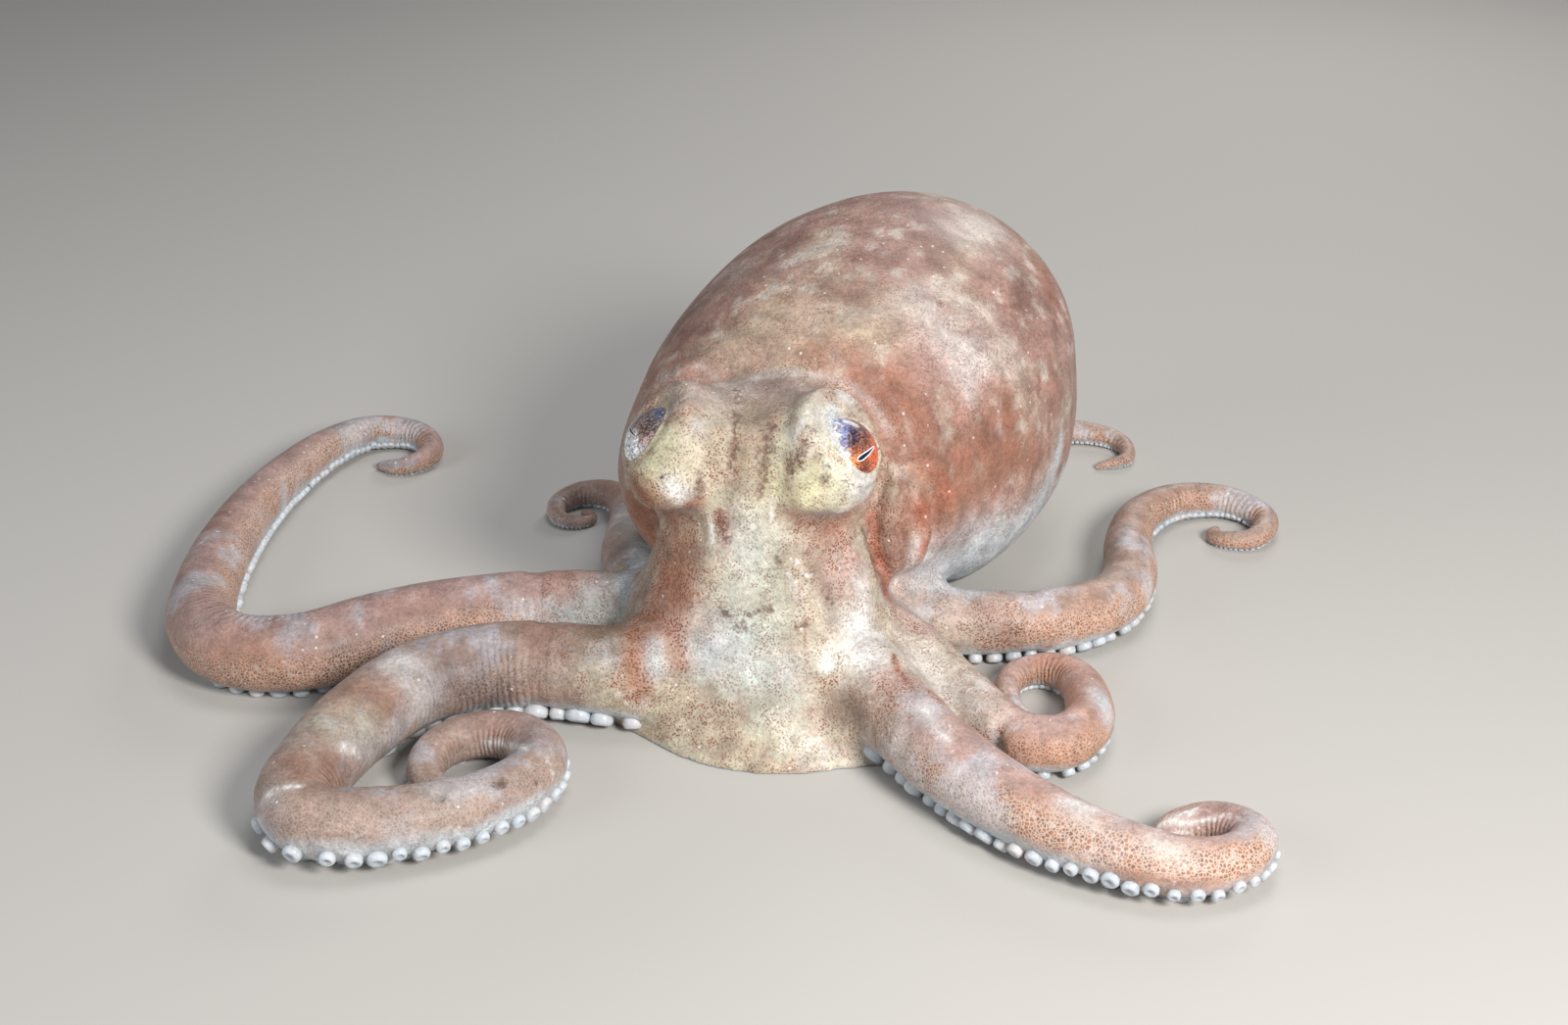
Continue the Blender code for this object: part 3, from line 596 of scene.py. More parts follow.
def remeshed(bm, voxel):
    """The outer surface of overlapping shapes, as one even mesh."""
    mesh = bpy.data.meshes.new("flesh")
    bm.to_mesh(mesh)
    bm.free()
    obj = bpy.data.objects.new("flesh", mesh)
    bpy.context.scene.collection.objects.link(obj)
    step = obj.modifiers.new("even", "REMESH")
    step.mode = "VOXEL"
    step.voxel_size = voxel
    even = bpy.data.meshes.new_from_object(obj.evaluated_get(bpy.context.evaluated_depsgraph_get()))
    bpy.data.objects.remove(obj)
    bpy.data.meshes.remove(mesh)
    out = bmesh.new()
    out.from_mesh(even)
    bpy.data.meshes.remove(even)
    return out


body = remeshed(joined(
    [mantle, head_core()]
    + [dome(sign, DOME_RADII, DOME_TALLER, 0, 0, 0) for sign in (1, -1)]
    + [dome(sign, LOBE_RADII, 1, *LOBE_PLACE) for sign in (1, -1)]
    + [web_body(), mouth_lip(), funnel_tube()]
    + [root_tube(arm) for name, arm in arms.items() if name not in HIDDEN_ARMS]
), VOXEL)


def soften(bm, verts, times):
    """Evens out a part of the surface."""
    for _ in range(times):
        bmesh.ops.smooth_vert(
            bm, verts=verts, factor=0.5, use_axis_x=True, use_axis_y=True, use_axis_z=True
        )


soften(body, body.verts, SOFTENING)
for level, times in CROWN_SOFTENING:
    soften(body, [
        vert for vert in body.verts
        if CROWN_SOFT_FROM + level < vert.co.z < CROWN_SOFT_TO - level
        and (vert.co.xy - CROWN_CENTRE).length < CROWN_SOFT_REACH - level
        and vert.co.y < CROWN_SOFT_BACK
    ], times)

# The skin is thrown into folds: the furrows between the eyes, the creases under the domes and
# behind the head, and the folded collar and funnel edge beside the neck. Each row holds the depth
# (a ridge is negative), how far it reaches from its line, and the line, which is laid on the skin.
FOLDS = (
    (1.0, 6.5, (
        (-4.8, 15, 45), (-4.0, 2, 46), (-4.2, -4, 44), (-4.6, -7, 40), (-4.9, -7.5, 36),
        (-5.2, -8, 31),
    )),
    (0.35, 2.0, ((-6.6, -2.3, 44.9), (-7.0, -5.1, 42.3), (-7.4, -6.2, 40.0), (-7.5, -6.8, 37.0))),
    (0.45, 1.9, ((-2.4, -2.0, 45.0), (-2.8, -4.9, 42.8), (-3.2, -6.4, 40.0), (-3.4, -7.2, 37.0))),
    (0.25, 1.8, ((0.2, 2.2, 46.0), (-1.0, -3.6, 44.0), (-1.6, -6.2, 40.7), (-1.3, -7.3, 36.8))),
    (-0.5, 5.0, ((-18.0, -2.6, 35.5), (-15.6, -5.4, 35.0), (-12.6, -5.6, 35.6))),
    (-0.5, 5.0, ((3.4, -8.2, 35.6), (7.0, -8.0, 35.4), (10.2, -5.4, 35.8))),
    (1.5, 4.0, (
        (-9.9, -5.3, 33.2), (-12.4, -4.6, 30.8), (-15.2, -3.0, 29.8), (-17.8, -0.2, 30.0),
        (-19.4, 2.8, 31.2), (-20.4, 6.0, 33.0),
    )),
    (1.3, 4.0, (
        (-0.6, -7.6, 34.5), (1.4, -7.6, 32.6), (4.4, -7.2, 31.2), (7.6, -6.0, 30.6),
        (10.6, -3.4, 31.2), (12.6, -0.6, 32.4), (13.8, 2.0, 34.5),
    )),
    (1.7, 4.2, (
        (-21.8, 9.0, 31), (-20.0, 12.5, 37), (-16.5, 15.0, 42), (-10, 16, 45), (-3.5, 16, 45.5),
        (2, 15, 45), (6.5, 13.4, 44.2), (10.5, 11.0, 42.3), (13.6, 8.2, 39.0), (15.2, 6.0, 34.5),
    )),
    (1.6, 2.4, (
        (15.0, 5.6, 35.0), (13.7, 2.8, 30.5), (13.3, 2.2, 26.0), (13.8, 2.4, 21.7),
        (14.6, 2.4, 17.0),
    )),
    (-1.0, 2.2, (
        (16.2, 6.2, 35.0), (15.2, 4.0, 30.5), (14.9, 3.4, 26.0), (15.4, 3.4, 21.7),
        (16.2, 3.2, 17.0),
    )),
    (1.2, 1.9, (
        (17.6, 7.0, 34.0), (16.7, 5.2, 30.0), (16.4, 4.6, 26.0), (17.0, 4.6, 21.7),
        (17.8, 4.6, 18.0),
    )),
    (-2.3, 4.2, ((18.3, 6.2, 27.0), (18.6, 6.0, 24.5), (18.2, 6.0, 21.5))),
    (1.5, 2.4, ((19.6, 8.0, 31.5), (21.8, 8.4, 27.5), (22.2, 8.8, 23.5), (21.0, 9.2, 19.5))),
    (-0.8, 2.6, ((21.4, 8.8, 32.0), (23.6, 9.6, 27.5), (24.0, 10.4, 22.5))),
)
FOLD_STEP = 0.4
FOLD_LAYINGS = 2
# a fold fades towards its ends over so many widths, down to a share of its depth
FOLD_FADE = 1.6
FOLD_LEAST = 0.25


def fold(bm, depth, width, line):
    """Sinks the skin along a line, most at the line itself."""
    bm.normal_update()
    points = np.array([vert.co for vert in bm.verts])
    tree = KDTree(len(points))
    for number, point in enumerate(points):
        tree.insert(point, number)
    tree.balance()
    line = smooth_route(line)
    stride = max(1, int(FOLD_STEP / SPLINE_STEP))
    for _ in range(FOLD_LAYINGS):
        line = np.array([tree.find(point)[0] for point in line])
    line = line[::stride]
    low, high = line.min(axis=0) - width, line.max(axis=0) + width
    near = np.flatnonzero(np.all((points > low) & (points < high), axis=1))
    away = np.linalg.norm(points[near][:, None] - line[None], axis=2).min(axis=1)
    ends = (np.linalg.norm(points[near] - line[end], axis=1) for end in (0, -1))
    fade = np.minimum(1, np.minimum(*ends) / (FOLD_FADE * width) + FOLD_LEAST)
    sink = depth * fade * np.clip(1 - (away / width) ** 2, 0, 1) ** 2
    bm.verts.ensure_lookup_table()
    for number, value in zip(near, sink):
        if value:
            vert = bm.verts[number]
            vert.co -= vert.normal * value


for facts in FOLDS:
    fold(body, *facts)

# The arms' own skin is one smooth tube each, creased inside its bends and rounded off at the tip.
# The body's root is cut off square, the arm's tube carries on there, and the join is softened.
ARM_SIDES = 26
ARM_STEP = 1.0
# the rings lie closer together where the arm is thinner than a radius, down to a share of the step
ARM_STEP_RADIUS = 3.5
ARM_STEP_LEAST = 0.45
ARM_TIP_SPARE = 0.2
# the rounded end of the tip: how narrow each ring is, and how far ahead it lies
ARM_TIP_END = ((0.75, 0.22), (0.35, 0.34))
CUT_MARGIN = 2.0
END_REACH = 1.27
CUT_REACH = 1.8
CUT_SLACK = 0.1
CUT_SNAP = 0.05
SEAM_GAP = 0.7
SEAM_REACH = 3.6
SEAM_SOFTENING = 10
HIDDEN_START = 4.0


def arm_stations(arm, start):
    """Stations of the rings, closer together where the arm is thin."""
    found = [start]
    while found[-1] < arm.length - ARM_TIP_SPARE:
        share = max(ARM_STEP_LEAST, min(1.0, arm.radius(found[-1]) / ARM_STEP_RADIUS))
        found.append(found[-1] + ARM_STEP * share)
    found[-1] = arm.length
    return found


def arm_skin(arm, number, start, closed):
    """The skin of one arm from a station to its tip; each point knows its place on the arm."""
    bm = bmesh.new()
    arm_layer = bm.verts.layers.int.new("arm")
    station_layer = bm.verts.layers.float.new("station")
    turn_layer = bm.verts.layers.float.new("turn")
    bmesh.ops.create_circle(bm, cap_ends=False, segments=ARM_SIDES, radius=1)
    ring = list(bm.verts)
    edges = list(bm.edges)
    if closed:
        bm.faces.new(ring)
    for station in arm_stations(arm, start):
        points = arm_ring(arm, station, ARM_SIDES, 1.0)
        if station > start:
            ring, edges = extruded(bm, ring, edges)
        for n, (vert, point) in enumerate(zip(ring, points)):
            vert.co = point
            vert[arm_layer] = number
            vert[station_layer] = station
            vert[turn_layer] = 2 * math.pi * (n + 0.5) / ARM_SIDES
    forward = arm.frame(arm.length)[0]
    middle = arm.centre(arm.length)
    for narrow, ahead in ARM_TIP_END:
        ring, edges = extruded(bm, ring, edges)
        for vert, point in zip(ring, points):
            vert.co = middle + (point - middle) * narrow + forward * ahead
    bm.faces.new(list(reversed(ring)))
    return bm


def boundary_near(bm, middle, reach):
    """The open edges round a hole near a point."""
    return [
        edge for edge in bm.edges
        if edge.is_boundary and (edge.verts[0].co - middle).length < reach
    ]


def root_end(bm, arm, margin):
    """The faces at the end of a root, found from its tip back to a margin behind the cut."""
    forward = arm.frame(arm.root_cut)[0]
    middle = arm.centre(arm.root_cut)
    tip = arm.centre(arm.root_cut + ROOT_SPARE)
    reach = END_REACH * arm.radius(arm.root_cut)
    first = min(bm.faces, key=lambda face: (face.verts[0].co - tip).length_squared)
    found = {first}
    stack = [first]
    while stack:
        for edge in stack.pop().edges:
            for face in edge.link_faces:
                away = face.calc_center_median() - middle
                if face not in found and away.dot(forward) > -margin and away.length < reach:
                    found.add(face)
                    stack.append(face)
    return list(found)


def cut_root(bm, arm):
    """Cuts the body's root off square, where the arm's own skin carries on."""
    faces = root_end(bm, arm, CUT_MARGIN)
    edges = {edge for face in faces for edge in face.edges}
    verts = {vert for face in faces for vert in face.verts}
    bmesh.ops.bisect_plane(
        bm, geom=list(verts) + list(edges) + faces, plane_co=arm.centre(arm.root_cut),
        plane_no=arm.frame(arm.root_cut)[0], dist=CUT_SNAP,
    )
    bmesh.ops.delete(bm, geom=root_end(bm, arm, 0), context="FACES")


def bridge_root(bm, arm, number):
    """Joins the body's skin to the arm's round the cut."""
    forward = arm.frame(arm.root_cut)[0]
    middle = arm.centre(arm.root_cut)
    reach = CUT_REACH * arm.radius(arm.root_cut)
    arm_layer = bm.verts.layers.int["arm"]
    ends = [
        edge for edge in bm.edges
        if edge.is_boundary and all(
            vert[arm_layer] == number
            or (vert.co - middle).length < reach
            and abs((vert.co - middle).dot(forward)) < CUT_SLACK
            for vert in edge.verts
        )
    ]
    bmesh.ops.bridge_loops(bm, edges=ends)
    soften(bm, [
        vert for vert in bm.verts
        if (vert.co - middle).length < reach
        and abs((vert.co - middle).dot(forward)) < SEAM_REACH
    ], SEAM_SOFTENING)


limbs = []
for number, (name, arm) in enumerate(arms.items(), 1):
    hidden = name in HIDDEN_ARMS
    start = HIDDEN_START if hidden else arm.root_cut + SEAM_GAP
    limbs.append(arm_skin(arm, number, start, hidden))
    if not hidden:
        cut_root(body, arm)
body = joined([body] + limbs)
for number, (name, arm) in enumerate(arms.items(), 1):
    if name not in HIDDEN_ARMS:
        bridge_root(body, arm, number)

# Each eye lies in a socket in the outer side of its dome, and the thin lid closes round it in
# an oval whose upper end leans towards the middle of the head.
EYE_OUT = 3.1
EYE_RADIUS = 5.8
EYE_AXIS = (0.604, -0.5065, 0.616)
EYE_LOOK = (0.590, -0.500, 0.690)
EYE_LONG = (0.549, -0.294, -0.780)
# the skin of the dome is cut away within an angle and a distance of the eye's centre
LID_CUT = math.radians(68)
LID_CUT_REACH = 11.0
LID_EDGE_REACH = 12.0
# each opening's centre and half size along the eye's long and short directions, and its roll
EYE_OPENINGS = {
    1: (-0.4, 1.4, 4.6, 3.65, math.radians(-12)),
    -1: (-0.05, 1.2, 4.4, 3.8, math.radians(-20)),
}
LID_THICK = 0.35
LID_RINGS = 7
LID_SETTLE = 1.3
LID_SMOOTHING = 12
# the rolled edge of the lid: how many degrees in from the end of the lid's skin each ring lies,
# and how thick it is there; and which of the rings is the edge of the opening
LID_ROLL = ((2.5, 0.9), (4.5, 0.55), (5.5, -0.2), (5.0, -1.6), (3.0, -3.0))
LID_RIM = 2


def eye_place(sign):
    """The eyeball's centre, the eye's axis, and the opening's long and short directions."""
    side, back = head_directions()
    outward, axis, long_way = (
        (side * (sign * x) + back * y + UP * z).normalized()
        for x, y, z in (EYE_AXIS, EYE_LOOK, EYE_LONG)
    )
    centre = DOME_CENTRE + side * (sign * DOME_APART / 2) + outward * EYE_OUT
    long_way = (long_way - axis * long_way.dot(axis)).normalized()
    return centre, axis, long_way, axis.cross(long_way) * sign


def ordered_ring(edges):
    """The points of a closed ring of edges, in order."""
    left = set(edges)
    edge = left.pop()
    ring = [edge.verts[0]]
    here = edge.verts[1]
    while here != ring[0]:
        ring.append(here)
        edge = next(item for item in here.link_edges if item in left)
        left.remove(edge)
        here = edge.other_vert(here)
    return ring


def open_eye(bm, sign):
    """Cuts the eye's opening and draws a thin lid from the dome's skin down to the eyeball."""
    centre, axis, long_way, short_way = eye_place(sign)
    along, across, half_long, half_short, roll = EYE_OPENINGS[sign]
    axis = (axis * EYE_RADIUS + long_way * along + short_way * across).normalized()
    long_way = (long_way - axis * long_way.dot(axis)).normalized()
    short_way = axis.cross(long_way) * sign
    gone = []
    for face in bm.faces:
        away = face.calc_center_median() - centre
        if away.length < LID_CUT_REACH and away.angle(axis) < LID_CUT:
            gone.append(face)
    bmesh.ops.delete(bm, geom=gone, context="FACES")
    edges = boundary_near(bm, centre, LID_EDGE_REACH)
    ring = ordered_ring(edges)
    offsets = [vert.co - centre for vert in ring]
    turns = np.unwrap([math.atan2(away.dot(short_way), away.dot(long_way)) for away in offsets])
    even = np.arange(len(ring)) * (2 * math.pi / len(ring)) * np.sign(turns[-1] - turns[0])
    even += turns[0]
    even += np.mean(turns - even)
    angles = np.array([away.angle(axis) for away in offsets])
    heights = np.array([away.length for away in offsets])
    for _ in range(LID_SMOOTHING):
        heights = (np.roll(heights, 1) + 2 * heights + np.roll(heights, -1)) / 4

    def move(ring, turns, angles, heights):
        """Puts a ring's points at their turns and angles round the axis, and their heights."""
        for vert, turn, angle, height in zip(ring, turns, angles, heights):
            level = long_way * math.cos(turn) + short_way * math.sin(turn)
            vert.co = centre + (axis * math.cos(angle) + level * math.sin(angle)) * height

    rolled = even - roll
    opening = 1 / np.hypot(np.cos(rolled) / half_long, np.sin(rolled) / half_short)
    rim = np.arcsin(opening / EYE_RADIUS) + math.radians(LID_ROLL[LID_RIM][0])
    for step in range(1, LID_RINGS + 1):
        share = step / LID_RINGS
        ring, edges = extruded(bm, ring, edges)
        evened = min(1.0, share * 2)
        start = LID_CUT + (angles - LID_CUT) * (1 - evened)
        angle = start + (rim - start) * share
        lifted = heights + (EYE_RADIUS + LID_THICK - heights) * share**LID_SETTLE
        move(ring, turns + (even - turns) * evened, angle, lifted)
    for back_degrees, thickness in LID_ROLL:
        ring, edges = extruded(bm, ring, edges)
        height = np.full(len(ring), EYE_RADIUS + LID_THICK * thickness)
        move(ring, even, rim - math.radians(back_degrees), height)
    bm.faces.new(list(reversed(ring)))


for sign in (1, -1):
    open_eye(body, sign)

bmesh.ops.holes_fill(body, edges=[edge for edge in body.edges if edge.is_boundary], sides=0)
for vert in body.verts:
    vert.co.z = max(vert.co.z, 0.0)
bmesh.ops.recalc_face_normals(body, faces=body.faces)

# The skin's colours. Each point of the skin carries its own colour: a rosy, mottled mantle with a
# pale belly, a cream head, and arms that are pink on top, orange-brown on the flanks and bluish
# white underneath. Over that lie soft marks and fine lines, each in its own place on the skin.
PALETTE = {
    "rosy": (0.4, 0.25, 0.21),
    "rust": (0.35, 0.15, 0.092),
    "red": (0.43, 0.115, 0.058),
    "brown": (0.165, 0.082, 0.062),
    "dark": (0.05, 0.03, 0.025),
    "mauve": (0.17, 0.115, 0.115),
    "grey_rose": (0.33, 0.262, 0.238),
    "sand": (0.47, 0.375, 0.28),
    "tan_rose": (0.48, 0.345, 0.285),
    "pink": (0.56, 0.38, 0.34),
    "orange": (0.47, 0.215, 0.12),
    "cream": (0.58, 0.535, 0.41),
    "yellow": (0.67, 0.64, 0.4),
    "pale": (0.66, 0.62, 0.56),
    "white": (0.78, 0.775, 0.76),
    "mint": (0.47, 0.51, 0.43),
    "olive": (0.22, 0.165, 0.098),
    "lilac": (0.6, 0.565, 0.6),
    "blue_white": (0.62, 0.665, 0.7),
    "blue_grey": (0.38, 0.43, 0.43),
}
# colour, strength, width, and the line or the spot that the mark lies along
MARKS = (
    # the mantle, from its top down the right side to the belly
    ("sand", 0.7, 6, ((-3.5, 21.5, 50), (2.5, 18, 49.5), (9, 19.5, 50.5))),
    ("sand", 0.5, 4, ((-11.5, 22, 46.5), (-8, 19, 47))),
    ("pale", 0.6, 1.8, ((0.5, 36.5, 54.5), (4.5, 38.5, 55.5), (8, 40, 56))),
    ("pale", 0.4, 4, ((-9, 42, 50), (-6.5, 40.5, 51.5))),
    ("brown", 0.55, 3.6, ((-13.5, 37, 46.5), (-10.5, 38.5, 49))),
    ("brown", 0.6, 2.6, ((-4, 35, 52.5), (-1.5, 42, 54), (2.5, 43.5, 55.5))),
    ("brown", 0.65, 3.0, ((6.5, 27, 53.5), (9.5, 25.5, 53), (12.5, 24, 52.5))),
    ("brown", 0.5, 2.4, ((11.5, 36, 56), (16, 34.5, 55.5))),
    ("brown", 0.5, 3.4, ((23, 36.5, 54.5), (22, 44.5, 56.5))),
    ("brown", 0.4, 4, ((24.5, 44, 56), (19, 52.5, 57.5))),
    ("brown", 0.35, 3.4, ((-8.5, 25, 49), (-12.5, 27.5, 47))),
    ("pale", 0.6, 4.2, ((31, 53, 54.5), (28, 46.5, 55.5))),
    ("pale", 0.5, 2.6, ((22.5, 30.5, 52.5), (27, 29, 50), (29.5, 29.5, 49))),
    ("white", 0.6, 3.6, ((19, 25, 51.5), (21.5, 23, 49.5), (24.5, 21.5, 47), (28, 21.5, 44.5))),
    ("sand", 0.5, 3.5, ((15, 26, 52.5), (17.5, 23.5, 51))),
    ("sand", 0.45, 4, ((12, 17.5, 49.5), (15.5, 19, 49.5))),
    ("pale", 0.5, 3, ((32.5, 26.5, 44), (33.5, 24, 40.5))),
    ("white", 0.4, 1.8, ((25, 18, 44), (27, 17, 41))),
    ("brown", 0.45, 3, ((37.5, 43.5, 49), (36, 35.5, 47))),
    ("rust", 0.5, 2.5, ((40, 52.5, 48), (41.5, 46.5, 45))),
    ("rust", 0.5, 5, ((-20, 34.5, 38.5), (-20, 6.5, 44))),
    ("brown", 0.4, 2.5, ((-16, 39.5, 44), (-18, 34, 42))),
    ("rust", 0.65, 3.6, ((5.5, 15, 47.5), (11, 13, 46.5), (16.5, 12.5, 44.5))),
    ("rust", 0.6, 6, ((16, 9.5, 41.5), (16, 7.5, 37))),
    ("rust", 0.6, 6, ((21, 9.5, 38.5), (23.5, 9, 33), (28.5, 14, 31.5))),
    ("rust", 0.75, 4.2, ((32.5, 20.5, 37.5), (33.5, 20, 33))),
    ("rust", 0.6, 4.5, ((31, 17, 28), (36.5, 24, 27.5))),
    ("rust", 0.35, 3, ((40.5, 32.5, 37), (40.5, 31, 32.5))),
    ("red", 0.6, 3.6, ((23.5, 8, 28.5), (21.5, 9.5, 25))),
    ("rust", 0.5, 3.6, ((26.5, 12, 27), (29.5, 15.5, 26))),
    ("brown", 0.4, 2.0, ((20.5, 13.5, 43), (22.5, 9.5, 36), (24, 9, 31.5))),
    ("brown", 0.4, 2.2, ((30, 17, 36), (31, 17, 32))),
    ("pink", 0.35, 4, ((20.5, 20.5, 48), (21.5, 15.5, 44))),
    ("blue_white", 1, 6.5, ((18, 10, 14.5), (24, 14.5, 14.5), (29, 18, 15))),
    ("blue_white", 1, 4, ((30.5, 18.5, 16), (35.5, 24.5, 15.5), (39, 29, 18))),
    ("blue_white", 0.9, 1.8, ((39.5, 29.5, 19), (41.5, 33, 22.5), (42.5, 34.5, 26))),
    # the animal's right edge, beside and behind the head
    ("orange", 0.75, 3.4, ((-21, -2, 35), (-20.5, 13, 23.5), (-19.5, 13.5, 19.5))),
    ("pale", 0.75, 2.2, ((-26, 49, 7.5), (-24, 35.5, 9), (-21.5, 25, 11))),
    # the animal's right-hand dome
    ("yellow", 0.8, 4.2, ((-17.5, -4, 39.5), (-16.5, -5.5, 38.5))),
    ("cream", 0.5, 3.0, ((-13.5, -5, 39.5), (-13, -6, 37.5))),
    ("white", 0.8, 1.3, ((-11.7, -1.8, 44.1),)),
    ("white", 0.85, 1.8, ((-15.5, -6, 37), (-14, -6.5, 35.5))),
    ("grey_rose", 0.6, 4.0, ((-15, 3.5, 46.5), (-11.5, 2, 46))),
    ("brown", 0.55, 1.5, ((-15.2, -0.5, 44.1), (-14.2, -0.8, 44.7))),
    ("brown", 0.5, 1.1, ((-14.1, 1.3, 45.8),)),
    ("dark", 0.7, 0.7, ((-18.1, -2.9, 40.5),)),
    ("dark", 0.6, 0.6, ((-16.7, -5.5, 37.8),)),
    # rust along the crease under this dome: partly the skin's rust, partly painted shade
    ("rust", 0.75, 1.6, ((-20, -3.3, 34.8), (-18.6, -3.9, 32.9), (-16.4, -0.4, 30))),
    ("rust", 0.6, 1.4, ((-16.4, -0.4, 30), (-14, -2.9, 31.4), (-12.2, -5.9, 34.2))),
    # the furrowed band between the domes, and the back of the head
    ("sand", 0.5, 3, ((-9, -2.5, 43), (-8.5, -4.5, 39.5))),
    ("brown", 0.6, 0.5, ((-6.7, 1, 44.1), (-6.8, -2.7, 42.1), (-7.4, -4.5, 39))),
    ("brown", 0.7, 0.7, ((-1.9, -1.3, 43.1), (-2.4, -2.8, 41.8), (-2.8, -4.3, 39.6))),
    ("brown", 0.6, 0.6, ((-2.9, -4.9, 38.4), (-3.3, -6.1, 35.4))),
    ("brown", 0.6, 0.6, ((-11.7, -5.5, 38), (-11.5, -6, 35.9))),
    ("brown", 0.5, 1.6, ((-3.4, 10.7, 45), (0, 10, 45.3))),
    ("brown", 0.35, 1.8, ((-0.5, 8, 45), (-1.5, 3, 44.5), (-1.5, -0.5, 43.5))),
    ("grey_rose", 0.5, 3, ((-4.5, 3.5, 44.5), (-4, -1, 43))),
    ("white", 0.3, 1.0, (
        (-9.2, 10.8, 45.1), (-6.1, 8.2, 44.7), (-3.5, 14.1, 44.9), (1.3, 13.6, 45.6),
        (5.4, 13.2, 45.4),
    )),
    ("white", 0.3, 0.6, ((7.1, 12.8, 45), (10.1, 11.8, 44), (12.5, 10.5, 42.3), (15.2, 8.3, 38.8))),
    # the animal's left-hand dome
    ("grey_rose", 0.5, 3.6, ((2, 7, 45), (6, 2, 47.5))),
    # painted highlight along a furrow of this dome
    ("white", 0.45, 1.0, ((3.6, -2.1, 45.8), (2.2, -3.3, 44.9), (1.3, -4, 43.4))),
    ("cream", 0.5, 2.6, ((0.5, -4, 42.5), (4.5, -5, 43))),
    ("brown", 0.8, 1.2, ((0.8, -6, 40), (0.9, -6.5, 39.1))),
    ("brown", 0.5, 0.9, ((2.2, -7, 40.4),)),
    ("brown", 0.5, 0.8, ((4.2, -4.4, 43.9), (1.9, -6.3, 41.4))),
    ("yellow", 0.8, 4.2, ((4, -8.5, 38), (7, -8, 38.5))),
    ("yellow", 0.55, 2.2, ((-1, -5.5, 38.5), (-0.5, -6.5, 36))),
    ("dark", 0.85, 0.7, ((5.7, -8.2, 39),)),
    ("brown", 0.6, 0.45, ((9.4, -6.3, 38.2),)),
    ("white", 0.85, 3.0, ((10, -6, 37.5), (11, -6, 36))),
    ("white", 0.4, 1.6, ((7, 0.5, 45), (6.5, -1.5, 43), (8.5, -6, 40))),
    ("pink", 0.6, 1.8, ((11.5, 0.5, 31), (12.5, 4, 31))),
    # rust along the crease under this dome: partly the skin's rust, partly painted shade
    ("rust", 0.55, 1.5, ((1.3, -7.1, 33), (4.2, -6.5, 32.7), (7.2, -5, 31.6), (9.8, -5.7, 33.4))),
    # painted highlight along a furrow of this dome
    ("white", 0.5, 0.9, ((5.2, -0.5, 45.8), (5.2, -4.9, 43.1), (6.1, -7.3, 40.2))),
    # the neck
    ("rust", 0.66, 5.0, ((-14.5, -3.5, 25.5), (-15.5, -4.5, 22), (-17, -5.5, 18.5))),
    ("brown", 0.45, 2.6, ((-12.5, -6, 25), (-14.5, -6, 20.5))),
    ("rust", 0.5, 3.2, ((-14.5, -6, 21), (-14.5, -8.5, 16.5))),
    ("brown", 0.5, 3.6, ((-20.5, -1.5, 17), (-23, -4, 14.5))),
    ("red", 0.8, 1.2, ((-9.1, -5.5, 32), (-8.5, -6.1, 30.6), (-8.1, -6.9, 29))),
    ("cream", 0.6, 1.3, ((-10.4, -5.1, 32), (-10.1, -6.1, 28.8))),
    ("white", 0.55, 3.6, ((-6.5, -7.5, 28), (-6, -9, 24.5))),
    ("white", 0.65, 1.6, ((-4.3, -7.3, 30.9), (-4, -7.9, 28.2))),
    ("cream", 0.5, 2.4, ((-9, -7.5, 25.5), (-8, -9, 23))),
    ("sand", 0.55, 3.0, ((-1.5, -7, 31), (0.5, -7.5, 29), (2, -8.5, 25))),
    ("pink", 0.7, 4.6, ((7, -5, 27.5), (7.5, -6, 23.5))),
    ("pink", 0.7, 3.0, ((9.5, -4, 23.5), (10, -5, 21))),
    ("rust", 0.4, 2.6, ((5.5, -5, 29), (8.5, -2.5, 28.5))),
    ("brown", 0.4, 1.6, ((4.6, -6.7, 26.9), (4.6, -7.5, 24.7))),
    ("brown", 0.8, 0.7, ((-0.9, -8.5, 26.7),)),
    ("brown", 0.7, 0.8, ((-5, -10.7, 19.5), (-2.4, -10.6, 20.2))),
    ("brown", 0.6, 0.9, ((-8.6, -9.8, 19.6), (-6.5, -11.1, 17.7))),
    ("brown", 0.7, 0.6, ((1.9, -11, 17.7), (2.8, -10.7, 17.8))),
    ("brown", 0.5, 1.0, ((5.3, -8, 22.4), (6.4, -8.4, 20))),
    # the web and the roots of the front arms
    ("white", 0.85, 1.8, ((10.5, -4.5, 20.5), (11.5, -5, 18))),
    ("white", 0.95, 4.0, ((11, -8.5, 15.5), (11.5, -11.5, 14))),
    ("blue_white", 0.8, 4.2, ((-10, -11.5, 14), (-6.5, -12, 15))),
    ("blue_white", 0.75, 3.8, ((-3, -13.5, 12), (0, -13.5, 12))),
    ("blue_white", 0.85, 1.6, ((-18.4, -9.4, 14.3), (-17.9, -12.1, 11.5))),
    ("blue_white", 0.7, 1.8, ((-25, -8.5, 13.5), (-24, -10.5, 12.5))),
    ("rust", 0.8, 2.2, ((-21, -5.5, 15), (-21.5, -11.5, 12), (-20.5, -13, 8.5))),
    ("rust", 0.7, 1.6, ((-16.1, -8.7, 15.4), (-14.6, -11.6, 12.2))),
    ("olive", 0.6, 4.0, ((-24.5, -2.5, 13.5), (-26.5, -6, 14))),
    ("sand", 0.55, 3.4, ((3.5, -14.5, 9.5), (6, -15, 8.5))),
    ("brown", 0.6, 2.6, ((7, -16, 7.5), (10, -18.5, 8.5))),
    ("sand", 0.4, 3.0, ((2.5, -11.5, 16.5), (3, -12.5, 13))),
    ("white", 0.8, 1.1, ((5.9, -12.6, 12.5),)),
    ("pink", 0.75, 2.2, ((14, -17, 12.5), (16.5, -19, 12.5))),
    ("red", 0.8, 0.6, ((15.3, -11, 13.3), (15.8, -14.8, 13), (16.9, -17.2, 12.6))),
